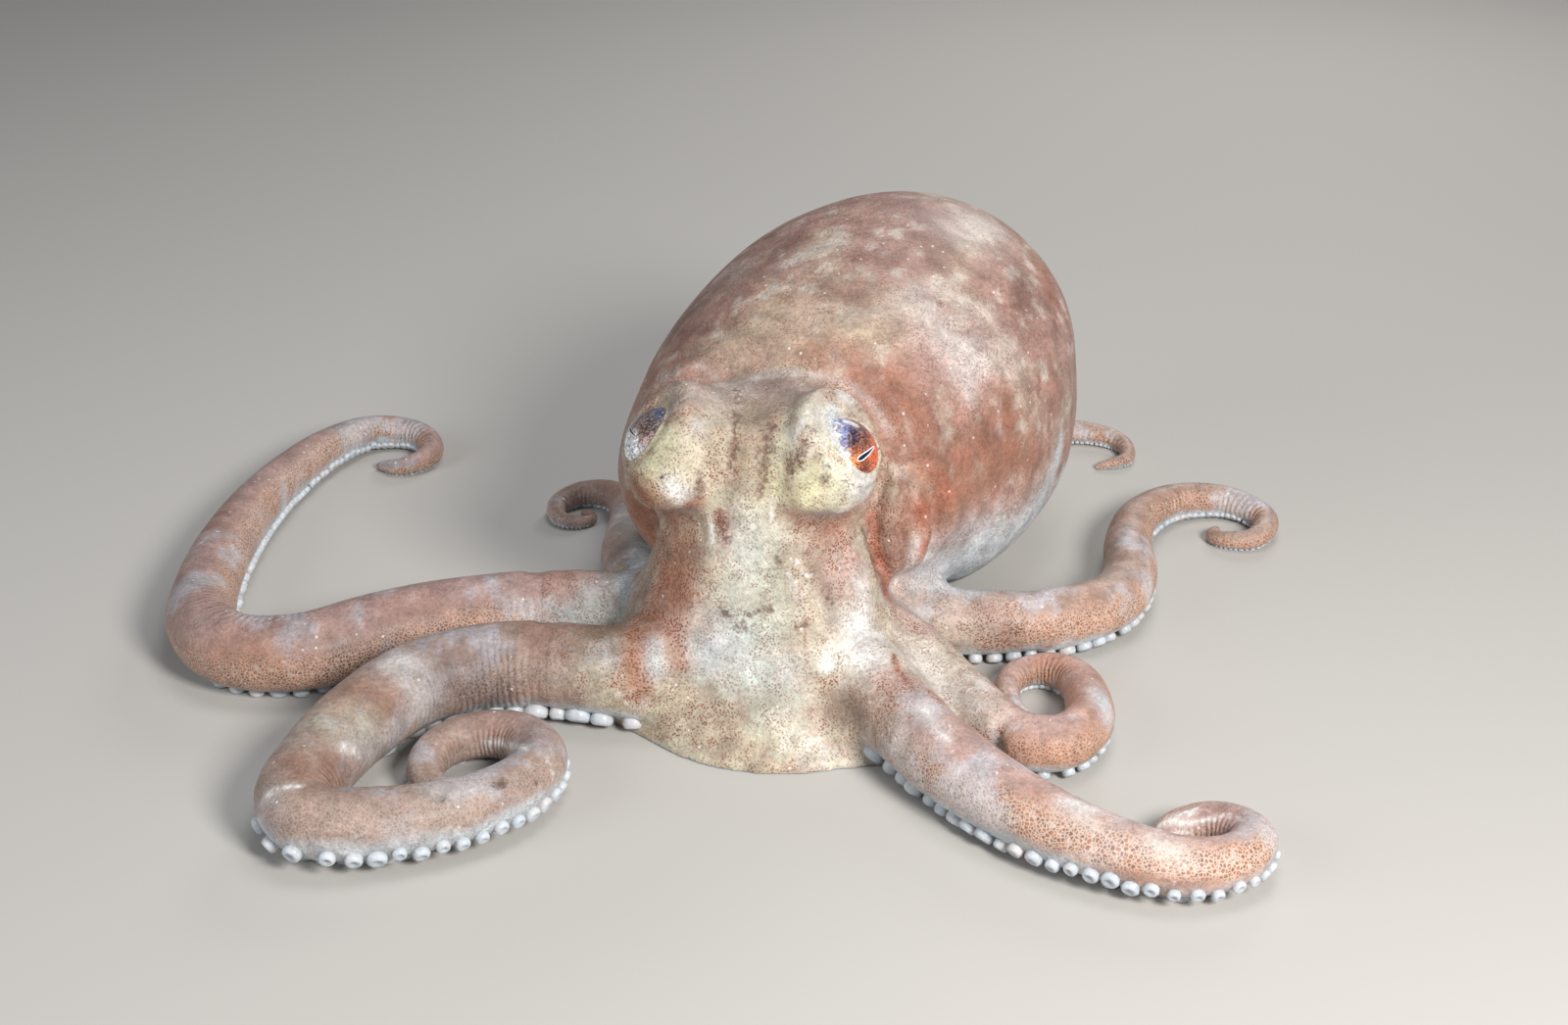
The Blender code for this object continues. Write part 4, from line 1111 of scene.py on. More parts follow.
    ("sand", 0.5, 3.4, ((13, -22.5, 9.5), (15.5, -26.5, 10))),
    ("pink", 0.5, 2.6, ((17.5, -28, 11), (19, -30.5, 10.5))),
    ("white", 0.7, 1.4, ((18.9, -24.5, 12.2), (21.4, -30.9, 11.7))),
    ("pale", 0.95, 4.0, ((18.5, -5.5, 10.5), (22.5, -12, 9), (26.5, -17.5, 8.5))),
    # the collar and the funnel
    ("red", 0.95, 1.5, ((12.5, 3.6, 27.6), (13.1, 3.9, 24.1), (14, 4.1, 19.8), (15.1, 3.3, 15.2))),
    ("dark", 0.75, 0.6, ((11.1, 1.4, 26.7), (12.6, 3.2, 21), (14.6, 3.4, 15.9))),
    ("rust", 0.7, 2.6, ((16.5, 5, 25), (17, 3.5, 22))),
    ("white", 0.85, 0.8, ((19, 4.4, 23.4), (17.9, 5.2, 18.8), (16.5, 9.1, 14.8))),
    ("red", 0.6, 1.4, ((19.7, 5.4, 27.9), (20.6, 5.6, 24.8), (20.2, 5.2, 21.9))),
    # the arms
    ("blue_grey", 0.7, 4.5, ((-30.5, 7.5, 9.5), (-26.5, 7.5, 11.5))),
    ("white", 0.7, 3.6, ((-55, -12, 13), (-52.5, -12.5, 12))),
    ("white", 0.5, 2.6, ((-51, -15.5, 9), (-49.5, -14, 5.5))),
    ("rust", 0.6, 3.6, ((-58, -19.5, 12.5), (-55, -20, 11))),
    # the arm's darker pinkish-brown, deepened by painted shade
    ("mauve", 0.7, 4.5, ((-45.5, -10.5, 10), (-42, -10, 6))),
    ("cream", 0.6, 4.5, ((-61.5, -27.5, 12), (-56.5, -25.5, 9))),
    ("white", 0.9, 0.9, ((-59, -30.8, 10), (-57.2, -29.1, 7.8))),
    ("rust", 0.55, 2.6, ((-62, -38, 10.5), (-57.5, -31, 6))),
    ("white", 0.7, 0.8, ((-67.3, -42.4, 9.2), (-65.4, -42.8, 10.5), (-62.7, -42.9, 11.1))),
    ("tan_rose", 0.5, 5, ((-63.5, -46, 9.5), (-56.5, -46.5, 10), (-49, -45.5, 9))),
    ("pale", 0.5, 2.6, ((-46, -41.5, 10), (-42.5, -39.5, 9.5))),
    ("white", 0.9, 0.6, ((-41, -19.9, 4), (-38.2, -21.6, 4.9), (-34.8, -29, 8.6))),
    ("pink", 0.6, 4.6, ((-36, -18, 7.5), (-33, -21, 8))),
    ("dark", 0.6, 0.45, ((-43.9, -42.8, 9.2),)),
    ("dark", 0.7, 0.6, ((-37.5, -38.7, 8.7), (-36.9, -38, 8.6))),
    ("pink", 0.6, 4.6, ((-83, 5, 11.5),)),
    ("orange", 0.7, 4.2, ((-80, -2.5, 7.5), (-74, -3.5, 6.5), (-68, -3, 6.5))),
    ("brown", 0.5, 4.2, ((-63, -0.5, 7.5), (-57.5, 2.5, 8))),
    ("pale", 0.5, 1.4, ((-85.5, 17.3, 10.6),)),
    ("pink", 0.5, 4.0, ((-84, 37, 4.5), (-84, 47.5, 6))),
    ("pink", 0.5, 3.4, ((-83.5, 62.5, 8), (-79, 77.5, 6))),
    ("blue_white", 0.8, 2.2, ((-76, 85, 6), (-74.5, 86, 2))),
    ("orange", 0.6, 3.4, ((33, -46, 9.5), (34, -48, 8.5))),
    ("white", 0.85, 2.4, ((37.5, -45.5, 10), (39.5, -48.5, 9.5))),
    ("pink", 0.5, 2.8, ((42.5, -50, 9.5), (44, -51.5, 9))),
    ("white", 0.9, 2.6, ((47, -53, 8.5), (49, -54, 8))),
    ("orange", 0.65, 3.4, ((38.5, -51.5, 7.5), (42, -53.5, 5))),
    ("orange", 0.75, 4.0, ((45, -54.5, 5), (49, -55.5, 5), (54, -55.5, 6))),
    ("orange", 0.7, 3.6, ((57, -53.5, 6.5), (59.5, -52, 6))),
    ("pink", 0.6, 3.6, ((52.5, -51, 8.5), (57.5, -42.5, 4.5))),
    ("mauve", 0.35, 3.0, ((57.5, -40, 6), (59.5, -41.5, 6.5))),
    ("white", 0.7, 0.5, ((49.1, -41.1, 4), (52.8, -40.7, 4.2), (56.7, -40.9, 5.1))),
    ("white", 0.6, 0.5, ((47.7, -49.7, 8.8), (53.2, -41.1, 2.6))),
    ("white", 0.6, 0.45, ((49.3, -40.7, 4.1), (52.1, -39.8, 4.8), (54, -39.3, 5.2))),
    ("grey_rose", 0.5, 2.2, ((35, 3.5, 5),)),
    ("orange", 0.6, 2.8, ((38, 2, 4.5), (40, 0.5, 4.5))),
    ("tan_rose", 0.6, 3.0, ((31, -2, 3.5),)),
    ("orange", 0.5, 3.6, ((41, -8, 6), (42, -17.5, 8))),
    ("blue_white", 0.8, 1.8, ((44.5, -10.5, 7), (45, -15, 7))),
    # laid last, over the others
    # rust along the creases under both domes: partly the skin's rust, partly painted shade
    ("rust", 0.55, 1.5, (
        (-18.7, -4.7, 36), (-17.5, -5, 33.8), (-14.9, -5.3, 32.7), (-12.3, -5.9, 33.8),
    )),
    ("rust", 0.5, 1.6, ((0.9, -7.3, 33.2), (3.4, -5.6, 30.4), (6, -4.7, 29.7), (8.5, -3.2, 30.4))),
    ("rosy", 0.8, 2.4, ((14.6, 2.9, 29.1), (15.4, 2.6, 25.4), (15.9, 2.8, 21.4))),
    ("brown", 0.45, 1.2, ((14.4, 3.6, 29.5), (15.2, 3.3, 25.4), (16.2, 3.6, 20.4))),
    ("tan_rose", 0.8, 4.2, (
        (16.5, 8.5, 13.5), (18.7, 8.6, 11.8), (21.6, 9.2, 10.6), (24.6, 9.5, 9.8),
    )),
    ("pink", 0.7, 3.4, ((17.6, 0.8, 13), (20.4, 0.1, 11.8))),
    ("white", 0.8, 1.4, (
        (7.9, 4.5, 45.6), (9.8, 6, 44.9), (11.6, 7, 43.6), (12.8, 6.8, 42), (13.6, 5.6, 40),
    )),
    ("blue_white", 0.8, 0.8, (
        (6.8, 2.3, 44.7), (6.3, -1, 44.2), (7, -3.8, 43.2), (8.3, -5.4, 41.6),
    )),
    ("olive", 0.6, 3.0, (
        (-4.6, 4.5, 45), (-4.5, -0.5, 43.5), (-4.5, -3.6, 40.5), (-4.6, -5.4, 37),
    )),
    ("mint", 0.5, 5, (
        (-3, -7.6, 28.5), (-3.5, -9.2, 24), (-3.5, -10.8, 19.5), (-3, -12.5, 14.5),
        (-3, -14.5, 10),
    )),
    ("brown", 0.3, 8, ((-15, 26, 44), (-12, 38, 47), (-6, 50, 50))),
    ("grey_rose", 0.7, 2.6, ((-5.5, 8.7, 44.8), (-1.4, 9.5, 45), (2.1, 7.8, 45.1))),
    ("rust", 0.45, 3.0, (
        (-17.8, 1.3, 23.7), (-17.2, -2.4, 21.6), (-16.6, -5.1, 19.1), (-17.7, -6.1, 16.6),
    )),
)
MARK_REACH = 2.4
# how much the middling and the small clouds fray a mark's edge
MARK_FRAY = (0.5, 0.25)
# fine dark furrows and spots, and fine pale creases and painted highlights: how wide each is, and
# its line
DARK_LINES = (
    (0.45, (
        (-6.7, 2.7, 44.5), (-6.6, -0.4, 43.6), (-6.8, -2.7, 42.1), (-7.1, -4, 40.2),
        (-7.4, -4.6, 38.7),
    )),
    (0.75, ((-1.7, -0.7, 43.4), (-2.3, -2.6, 42.1), (-2.7, -4, 40.2))),
    (0.4, ((-2.8, -4.3, 39.6), (-3, -5.5, 37.2), (-3.3, -6.1, 35.2))),
    (0.4, ((-11.7, -5.3, 38.3), (-11.6, -5.9, 37.1), (-11.4, -6, 35.7))),
    (0.6, ((-9.2, -5.4, 32.2), (-8.6, -5.9, 30.9), (-8.4, -6.5, 29.8), (-8, -7, 29.1))),
    (0.4, ((-18.1, -2.9, 40.5),)),
    (0.35, ((-16.7, -5.5, 37.8),)),
    (0.6, ((0.8, -5.9, 40.1), (0.9, -6.4, 39.3))),
    (0.45, ((2.2, -7, 40.3),)),
    (0.5, ((5.7, -8.2, 39),)),
    (0.3, ((9.4, -6.3, 38.2),)),
    (0.5, ((3.9, -4.5, 44), (2.9, -5.8, 42.8), (1.9, -6.3, 41.4))),
    (0.4, ((-0.9, -8.4, 27), (-0.8, -8.6, 26.2))),
    (0.4, ((-5, -10.7, 19.4), (-3.8, -10.7, 19.7))),
    (0.4, ((-2.8, -10.6, 20), (-1.7, -10.5, 20.3))),
    (0.4, ((-8.7, -9.7, 19.8), (-8, -10.3, 19))),
    (0.4, ((-6.7, -11, 17.8), (-6.3, -11.2, 17.4))),
    (0.4, ((1.9, -11, 17.6), (2.9, -10.7, 17.9))),
    (0.4, ((5.8, -8.4, 20.9), (6.8, -8.1, 20.2))),
    (0.5, ((-14.5, -0.6, 44.6), (-14.3, -1.5, 44.3))),
    (0.4, ((-14.2, 1.5, 45.8),)),
    (0.4, ((-6.8, 9.5, 44.9), (-6.5, 4.7, 44.7))),
    (0.5, ((23.1, 27.3, 51),)),
    (0.45, ((6.8, 22.1, 51.9),)),
    (0.35, ((-4.4, 27.7, 51.3),)),
    (0.4, ((18, 6.4, 31),)),
    (0.5, ((-49, -41.7, 10.2),)),
    (0.35, ((-43.9, -42.8, 9.2),)),
    (0.5, ((-37.6, -38.8, 8.6), (-36.8, -37.9, 8.7))),
    (0.3, ((-32.8, -35.3, 6.8),)),
    (0.35, ((15.3, -11, 13.3), (15.8, -14.8, 13), (16.9, -17.2, 12.6))),
    (0.5, ((-6.5, -11, 17.8), (-4.9, -11.4, 17.3))),
)
PALE_LINES = (
    (0.5, ((-59, -30.8, 10), (-57.2, -29.1, 7.8))),
    (0.4, ((-41, -19.9, 4), (-38.2, -21.6, 4.9), (-34.7, -29.2, 8.7))),
    (0.4, ((-67.3, -42.4, 9.2), (-65.4, -42.8, 10.5), (-62.7, -42.9, 11.1))),
    (0.35, ((-32, -29.8, 8.1), (-30.9, -32.2, 5.9))),
    (0.35, ((48.9, -41.2, 3.9), (52.8, -40.7, 4.1), (56.7, -41, 5.1))),
    (0.35, ((47.7, -49.7, 8.8), (51.1, -42.3, 3.6), (53.2, -41.1, 2.6))),
    (0.3, ((49.3, -40.9, 4.1), (52.1, -39.8, 4.8), (54.2, -39.2, 5.3))),
    (0.3, ((55, -40.5, 4.4), (57.7, -41.2, 5.7), (59.4, -44.1, 6.7))),
    (0.4, ((18.7, 4.2, 24.3), (19, 4.6, 21.8), (17.9, 5.2, 18.8), (16.4, 9, 14.7))),
    # painted highlights along the furrows of the animal's left-hand dome
    (0.45, ((3.1, -2.8, 45.5), (2.4, -3.5, 44.8), (1.6, -4.3, 43.5))),
    (0.35, ((5.1, -1.7, 44.9), (5.2, -4.5, 43.3), (5.7, -6.4, 41.6))),
    (0.4, ((-10.4, -5.2, 32.4), (-10.2, -5.2, 30.2), (-10, -6.3, 28.6))),
    (0.35, ((-1.4, -6.2, 35.4), (-1.7, -6.4, 33.4), (-1.4, -7.1, 31.1))),
    (0.35, ((0.6, -8.8, 25), (1.9, -9, 23.3))),
    (0.4, ((1.9, -8.1, 26.1), (3.3, -8.3, 24))),
    (0.4, ((18.9, -24.5, 12.2), (20.6, -29.5, 11.8), (22.6, -34, 11.1))),
)
FINE_REACH = 4.0
# size, octaves and shift of the wide, the middling and the small clouds
CLOUDS = ((11, 3, 0), (4, 3, 20), (1.8, 2, 40))
# colour, strength, and what it follows: shares of the three clouds, where it starts and is full
MANTLE_CLOUDS = (
    ("sand", 0.55, ((1, 0.4, 0), -0.05, 0.5)),
    ("brown", 0.55, ((1, -1, 0), 0.15, 0.7), ((-1, 0, 0), -0.1, 0.4)),
    ("pale", 0.5, ((0, 1, 0.5), 0.28, 0.6)),
    ("brown", 0.35, ((0, -1, 1), 0.3, 0.8)),
)
HEAD_CLOUDS = (
    ("sand", 0.8, ((1, 1, 0), -0.3, 0.4)),
    ("tan_rose", 0.5, ((-1, 1, 0), 0.1, 0.6)),
    ("white", 0.3, ((-1, 0, 1), 0.2, 0.7)),
)
ARM_CLOUDS = (
    ("lilac", 0.85, ((1, 0, 0.3), 0.08, 0.38)),
    ("rust", 0.35, ((-1, 0, 0.3), 0.2, 0.5)),
)
# the colour of an arm's top and of its flanks, and how strong the net on the flanks is
ARM_LOOKS = {
    "right_1": ("tan_rose", "tan_rose", 0.3),
    "right_2": ("pink", "orange", 0.7),
    "right_3": ("tan_rose", "pink", 0.5),
    "right_4": ("tan_rose", "orange", 0.8),
    "left_1": ("pink", "orange", 1.0),
    "left_2": ("pink", "orange", 0.6),
    "left_3": ("tan_rose", "orange", 0.8),
    "left_4": ("tan_rose", "orange", 0.8),
}
# how far back the head's colours reach, how fast that falls off to either side of its middle,
# and the two edges of the mantle's colours: along the body, and out from the mantle's axis
HEAD_BACK = 16.0
HEAD_BACK_CURVE = 0.028
HEAD_MIDDLE = -4.0
HEAD_BACK_EDGE = (-0.6, 0.6)
MANTLE_EDGE = (1.36, 1.26)
MANTLE_ROWS = 60
BELLY_PALE = (0.42, 0.62)
# how much the middling clouds fray the edge of the belly and of the arms' pale sides
PALE_FRAY = 0.25
# the top of the head is greyer where it faces up and lies back
HEAD_TOP_SHARE = 0.7
HEAD_TOP_FACING = (0.55, 0.9)
HEAD_TOP_BACK = (0.0, 7.0)
UNDERSIDE = (0.35, 0.7)
# turns from the sucker side, in radians, at which an arm's pale side ends and its flank fades
ARM_PALE_SIDE = (1.25, 0.95)
ARM_FLANK = (2.65, 1.9)
ROOT_FLANK = 0.3
ROOT_BLEND = (2.0, 14.0)
# painted shade on the arms: their colour is darkened against the body's, less so underneath, and
# the more so on the animal's right
LIMB_PAINTED_SHADE = 0.3
LIMB_UNDERSIDE = 0.6
LIMB_LEAST = 0.3
LIMB_ACROSS = (-30.0, 5.0)
# how thickly the brown dots lie on the mantle and on the arms, round the funnel, where the
# skin is rust-coloured, and how much thinner on pale skin
MANTLE_DOTS = 0.85
ARM_DOTS = 0.55
FUNNEL_DOTS = 1.15
FUNNEL_MIDDLE = (17, 4, 24)
FUNNEL_REACH = (13.0, 6.0)
RUST_DOTS = 0.9
RUST_REDNESS = (0.12, 0.22)
RUST_PALEST = (0.36, 0.5)
PALE_DOTS = 0.6
PALE_SKIN = (0.55, 0.8)
FOLD_BEND = 1.5


def cloud(points, size, octaves, shift):
    """Smooth random values, about -0.6 to 0.6, that change over a size in millimetres."""
    offset = Vector((shift, 0, 0))
    return np.array([noise.fractal(Vector(p) / size + offset, 1.0, 2.0, octaves) for p in points])


def blend(colours, name, share):
    """Moves each colour a share of the way to one of the palette's."""
    share = np.clip(share, 0.0, 1.0)[:, None]
    return colours * (1 - share) + np.array(PALETTE[name]) * share


def clouded(colours, rows):
    """Changes of colour that follow the clouds, by the rows of a table."""
    for name, strength, *terms in rows:
        share = strength
        for weights, start, full in terms:
            share = share * ease(sum(w * c for w, c in zip(weights, clouds)), start, full)
        colours = blend(colours, name, share)
    return colours


def painted(name):
    """One of the palette's colours at every point of the skin."""
    return np.tile(PALETTE[name], (len(points), 1))


layers = body.verts.layers
arm_of = np.array([vert[layers.int["arm"]] for vert in body.verts])
station_of = np.array([vert[layers.float["station"]] for vert in body.verts])
turn_of = np.array([vert[layers.float["turn"]] for vert in body.verts])
points = np.array([vert.co for vert in body.verts])
body.normal_update()
facing = np.array([vert.normal for vert in body.verts])
clouds = [cloud(points, *facts) for facts in CLOUDS]
wide, middling, small = clouds

# where the mantle is, and how far up its side each point lies
mantle_rows = np.array([
    between(MANTLE_SECTIONS, share) for share in np.linspace(0, 1, MANTLE_ROWS)
])
away = np.linalg.norm(points[:, None, :2] - mantle_rows[None, :, :2], axis=2)
nearest = mantle_rows[np.argmin(away, axis=1)]
level = (points[:, 2] - nearest[:, 2]) / nearest[:, 4]
spread = np.hypot(
    level, np.linalg.norm(points[:, :2] - nearest[:, :2], axis=1) / nearest[:, 3]
)
front = points[:, 1] - (HEAD_BACK - HEAD_BACK_CURVE * (points[:, 0] - HEAD_MIDDLE) ** 2)
on_mantle = ease(front, *HEAD_BACK_EDGE) * (arm_of == 0) * ease(spread, *MANTLE_EDGE)
on_arm = (arm_of > 0).astype(float)
on_head = (1 - on_mantle) * (1 - on_arm)

tint = clouded(painted("rosy"), MANTLE_CLOUDS)
belly = ease(-level + PALE_FRAY * middling, *BELLY_PALE)
tint = blend(tint, "blue_white", on_mantle * belly)

head_tint = clouded(painted("cream"), HEAD_CLOUDS)
on_top = HEAD_TOP_SHARE * ease(facing[:, 2], *HEAD_TOP_FACING) * ease(points[:, 1], *HEAD_TOP_BACK)
head_tint = blend(head_tint, "grey_rose", on_top)
underside = ease(-facing[:, 2], *UNDERSIDE)
head_tint = blend(head_tint, "blue_white", underside)
tint = tint * (1 - on_head)[:, None] + head_tint * on_head[:, None]

net, arm_shade = np.zeros(len(points)), np.zeros(len(points))
around = np.minimum(turn_of, 2 * math.pi - turn_of)
for number, (name, arm) in enumerate(arms.items(), 1):
    top, flank, strength = ARM_LOOKS[name]
    mine = (arm_of == number).astype(float)
    if name not in HIDDEN_ARMS:
        # the root's skin belongs to the body, and turns into the arm's over its last stretch
        out = np.linalg.norm(points[:, :2] - np.array(arm.centre(arm.root_cut).xy), axis=1)
        on_root = (arm_of == 0) * (1 - ease(out, *ROOT_BLEND)) * (1 - on_mantle)
        mine = np.maximum(mine, on_root)
    pale_side = ease(around + PALE_FRAY * middling, *ARM_PALE_SIDE)
    low = np.where(arm_of == number, pale_side, underside)
    side = np.where(arm_of == number, ease(around, *ARM_FLANK), ROOT_FLANK)
    arm_tint = clouded(blend(painted(top), flank, side), ARM_CLOUDS)
    arm_tint = blend(arm_tint, "blue_white", low)
    tint = tint * (1 - mine)[:, None] + arm_tint * mine[:, None]
    net = np.maximum(net, mine * strength * side * (1 - low))
    # how much painted shade each point of an arm takes, less on its pale underside
    arm_shade = np.maximum(arm_shade, mine * (1 - LIMB_UNDERSIDE * low))


def widths_away(width, line, most):
    """How many widths each point of the skin is from a line, up to a limit."""
    line = np.array(line, float)
    if len(line) > 1:
        apart = np.linalg.norm(np.diff(line, axis=0), axis=1)
        at = np.concatenate([[0], np.cumsum(apart)])
        steps = np.linspace(0, at[-1], max(2, int(2 * at[-1] / width) + 1))
        line = np.stack([np.interp(steps, at, line[:, axis]) for axis in range(3)], axis=1)
    low, high = line.min(axis=0) - most * width, line.max(axis=0) + most * width
    near = np.flatnonzero(np.all((points > low) & (points < high), axis=1))
    away = np.full(len(points), most)
    away[near] = np.linalg.norm(points[near][:, None] - line[None], axis=2).min(axis=1) / width
    return np.minimum(away, most)


fray = MARK_FRAY[0] * middling + MARK_FRAY[1] * small
for name, strength, width, line in MARKS:
    away = widths_away(width, line, MARK_REACH)
    away += fray * (away < MARK_REACH)
    share = strength * np.exp(-np.clip(away, 0, None) ** 2) * (away < MARK_REACH)
    tint = blend(tint, name, share)
# painted shade: the arms' colour is darkened, most on the animal's right
across = LIMB_LEAST + (1 - LIMB_LEAST) * ease(-points[:, 0], *LIMB_ACROSS)
tint *= (1 - LIMB_PAINTED_SHADE * arm_shade * across)[:, None]
fine_dark, fine_pale = (
    np.min([widths_away(width, line, FINE_REACH) for width, line in lines], axis=0)
    for lines in (DARK_LINES, PALE_LINES)
)

# how thickly the brown dots lie
stipple = np.clip(on_head + MANTLE_DOTS * on_mantle + ARM_DOTS * on_arm * (1 - net), 0, 1)
from_funnel = np.linalg.norm(points - np.array(FUNNEL_MIDDLE), axis=1)
stipple = np.maximum(stipple, FUNNEL_DOTS * ease(from_funnel, *FUNNEL_REACH))
rusty = ease(tint[:, 0] - tint[:, 2], *RUST_REDNESS) * (1 - ease(tint[:, 1], *RUST_PALEST))
stipple += RUST_DOTS * on_head * rusty
stipple *= 1 - PALE_DOTS * ease(tint.min(axis=1), *PALE_SKIN)

# where the skin folds inside a bend
folds = np.zeros(len(points))
for number, arm in enumerate(arms.values(), 1):
    mine = np.flatnonzero(arm_of == number)
    bends = np.interp(station_of[mine], arm.at, arm.bend)
    radii = np.array([arm.radius(station) for station in station_of[mine]])
    # a bend to the left folds the skin on the left, where the sine of the turn is negative
    inner = np.clip(-np.sin(turn_of[mine]) * np.sign(bends), 0, 1)
    folds[mine] = inner * np.clip(np.abs(bends) * radii * FOLD_BEND, 0, 1)

# The skin's finish: soft and moist, mottled and grainy, with a pale net on the arms' flanks,
# fine brown dots, pale flecks, dark and pale lines, and small waves inside the arms' bends.
MOTTLE_SCALE = 300
GRAIN_SCALE = 1500
NET_SCALE = 2000
DOT_SCALE = 2900
DOT_PATCH_SCALE = 420
FLECK_SCALE = 560
NET_LINE = (0.78, 0.66, 0.58, 1.0)
DOT = (0.19, 0.060, 0.030, 1.0)
DARK_LINE = (0.12, 0.060, 0.042, 1.0)
PALE_LINE = (0.84, 0.82, 0.79, 1.0)
FLECK = (0.84, 0.81, 0.76, 1.0)
# waves to the millimetre along an arm, as an angle, and how far the mottle bends them
WAVE_TURN = 5.2
WAVE_WANDER = 9
SKIN_FINISH = (
    ("Subsurface Weight", 0.12), ("Subsurface Scale", 0.0016),
    ("Subsurface Radius", (1.0, 0.42, 0.26)), ("IOR", 1.38), ("Coat Weight", 0.1),
    ("Coat Roughness", 0.3),
)


class Nodes:
    """Adds shader nodes to a material or to an effect that several materials share."""

    def __init__(self, tree):
        self.tree = tree

    def feed(self, node, sources):
        """Links or sets the sockets of a node: pairs of a socket and its source."""
        for socket, source in sources:
            if isinstance(source, bpy.types.NodeSocket):
                self.tree.links.new(source, node.inputs[socket])
            else:
                node.inputs[socket].default_value = source
        return node

    def add(self, kind, sources=(), **settings):
        """A new node with its settings, and its sockets linked or set."""
        made = self.tree.nodes.new(kind)
        for name, value in settings.items():
            setattr(made, name, value)
        return self.feed(made, sources)

    def attribute(self, name, output="Color"):
        """What the mesh carries under a name."""
        return self.add("ShaderNodeAttribute", attribute_name=name).outputs[output]

    def maths(self, operation, *values):
        """The value that an operation makes of others."""
        made = self.add("ShaderNodeMath", enumerate(values), operation=operation)
        return made.outputs["Value"]

    def stepped(self, value, start, stop, bottom, top):
        """A value that goes from bottom to top while another goes from start to stop."""
        return self.add("ShaderNodeMapRange", (
            ("Value", value), ("From Min", start), ("From Max", stop), ("To Min", bottom),
            ("To Max", top),
        )).outputs["Result"]

    def mixed(self, share, one, other):
        """One colour moved a share of the way to another."""
        sources = ((0, share), (6, one), (7, other))
        return self.add("ShaderNodeMix", sources, data_type="RGBA").outputs[2]

    def scaled(self, colour, shade):
        """A colour made darker or lighter."""
        sources = ((0, colour), ("Scale", shade))
        return self.add("ShaderNodeVectorMath", sources, operation="SCALE").outputs["Vector"]

    def parts(self, colour):
        """The red, green and blue of a colour."""
        return self.add("ShaderNodeSeparateColor", (("Color", colour),)).outputs

    def placed(self, effect, **values):
        """One of the shared effects, with its own values in this material."""
        return self.add("ShaderNodeGroup", values.items(), node_tree=effect).outputs

    def bump(self, height, strength, distance):
        """A normal from a height."""
        sources = (("Height", height), ("Strength", strength), ("Distance", distance))
        return self.add("ShaderNodeBump", sources).outputs["Normal"]


def new_effect(name, inputs, outputs):
    """An empty effect, its nodes, and what goes into it: a place and some numbers."""
    tree = bpy.data.node_groups.new(name, "ShaderNodeTree")
    for socket in inputs:
        kind = "NodeSocketVector" if socket == "Place" else "NodeSocketFloat"
        tree.interface.new_socket(socket, in_out="INPUT", socket_type=kind)
    for socket in outputs:
        tree.interface.new_socket(socket, in_out="OUTPUT", socket_type="NodeSocketFloat")
    nodes = Nodes(tree)
    return tree, nodes, nodes.add("NodeGroupInput").outputs


# cloudy light and shade, which the skin, the suckers and the eyes have
mottle_effect, nodes, given = new_effect(
    "mottle", ("Place", "Scale", "Detail", "Start", "Stop", "Bottom", "Top"), ("Cloud", "Shade"),
)
cloud_value = nodes.add("ShaderNodeTexNoise", (
    ("Vector", given["Place"]), ("Scale", given["Scale"]), ("Detail", given["Detail"]),
)).outputs["Fac"]
nodes.feed(nodes.add("NodeGroupOutput"), (
    ("Cloud", cloud_value),
    ("Shade", nodes.stepped(
        cloud_value, *(given[name] for name in ("Start", "Stop", "Bottom", "Top"))
    )),
))

# cells that each have tones of their own, which the skin and the eyes have
speckle_effect, nodes, given = new_effect(
    "speckle", ("Place", "Scale"), ("Distance", "Tone", "Other_tone"),
)
cell = nodes.add("ShaderNodeTexVoronoi", (
    ("Vector", given["Place"]), ("Scale", given["Scale"]),
), feature="F1").outputs
tones = nodes.parts(cell["Color"])
nodes.feed(nodes.add("NodeGroupOutput"), (
    ("Distance", cell["Distance"]), ("Tone", tones["Red"]), ("Other_tone", tones["Green"]),
))


def new_paint(name):
    """A material, its nodes, its shader, and the place of each point on the object."""
    paint = bpy.data.materials.new(name)
    paint.use_nodes = True
    nodes = Nodes(paint.node_tree)
    shader = paint.node_tree.nodes["Principled BSDF"]
    return paint, nodes, shader, nodes.add("ShaderNodeTexCoord").outputs["Object"]


skin_paint, nodes, shader, place = new_paint("skin")
dots_share, net_share, fold_share = nodes.parts(nodes.attribute("detail")).values()[:3]
mottle = nodes.placed(
    mottle_effect, Place=place, Scale=MOTTLE_SCALE, Detail=5, Start=0.3, Stop=0.7, Bottom=0.72,
    Top=1.2,
)
grain = nodes.placed(
    mottle_effect, Place=place, Scale=GRAIN_SCALE, Detail=2, Start=0.3, Stop=0.7, Bottom=0.82,
    Top=1.15,
)
shade = nodes.maths("MULTIPLY", mottle["Shade"], grain["Shade"])

# the net on the arms' flanks: cells of uneven tone with pale lines between them
net_tone = nodes.placed(speckle_effect, Place=place, Scale=NET_SCALE)["Tone"]
net_tone = nodes.stepped(net_tone, 0, 1, -0.28, 0.12)
shade = nodes.maths("MULTIPLY", shade, nodes.maths("MULTIPLY_ADD", net_tone, net_share, 1.0))
colour = nodes.scaled(nodes.attribute("tint"), shade)
net_edge = nodes.add("ShaderNodeTexVoronoi", (
    ("Vector", place), ("Scale", NET_SCALE),
), feature="DISTANCE_TO_EDGE").outputs["Distance"]
net_line = nodes.maths("MULTIPLY", nodes.stepped(net_edge, 0.02, 0.2, 0.75, 0.0), net_share)
colour = nodes.mixed(net_line, colour, NET_LINE)

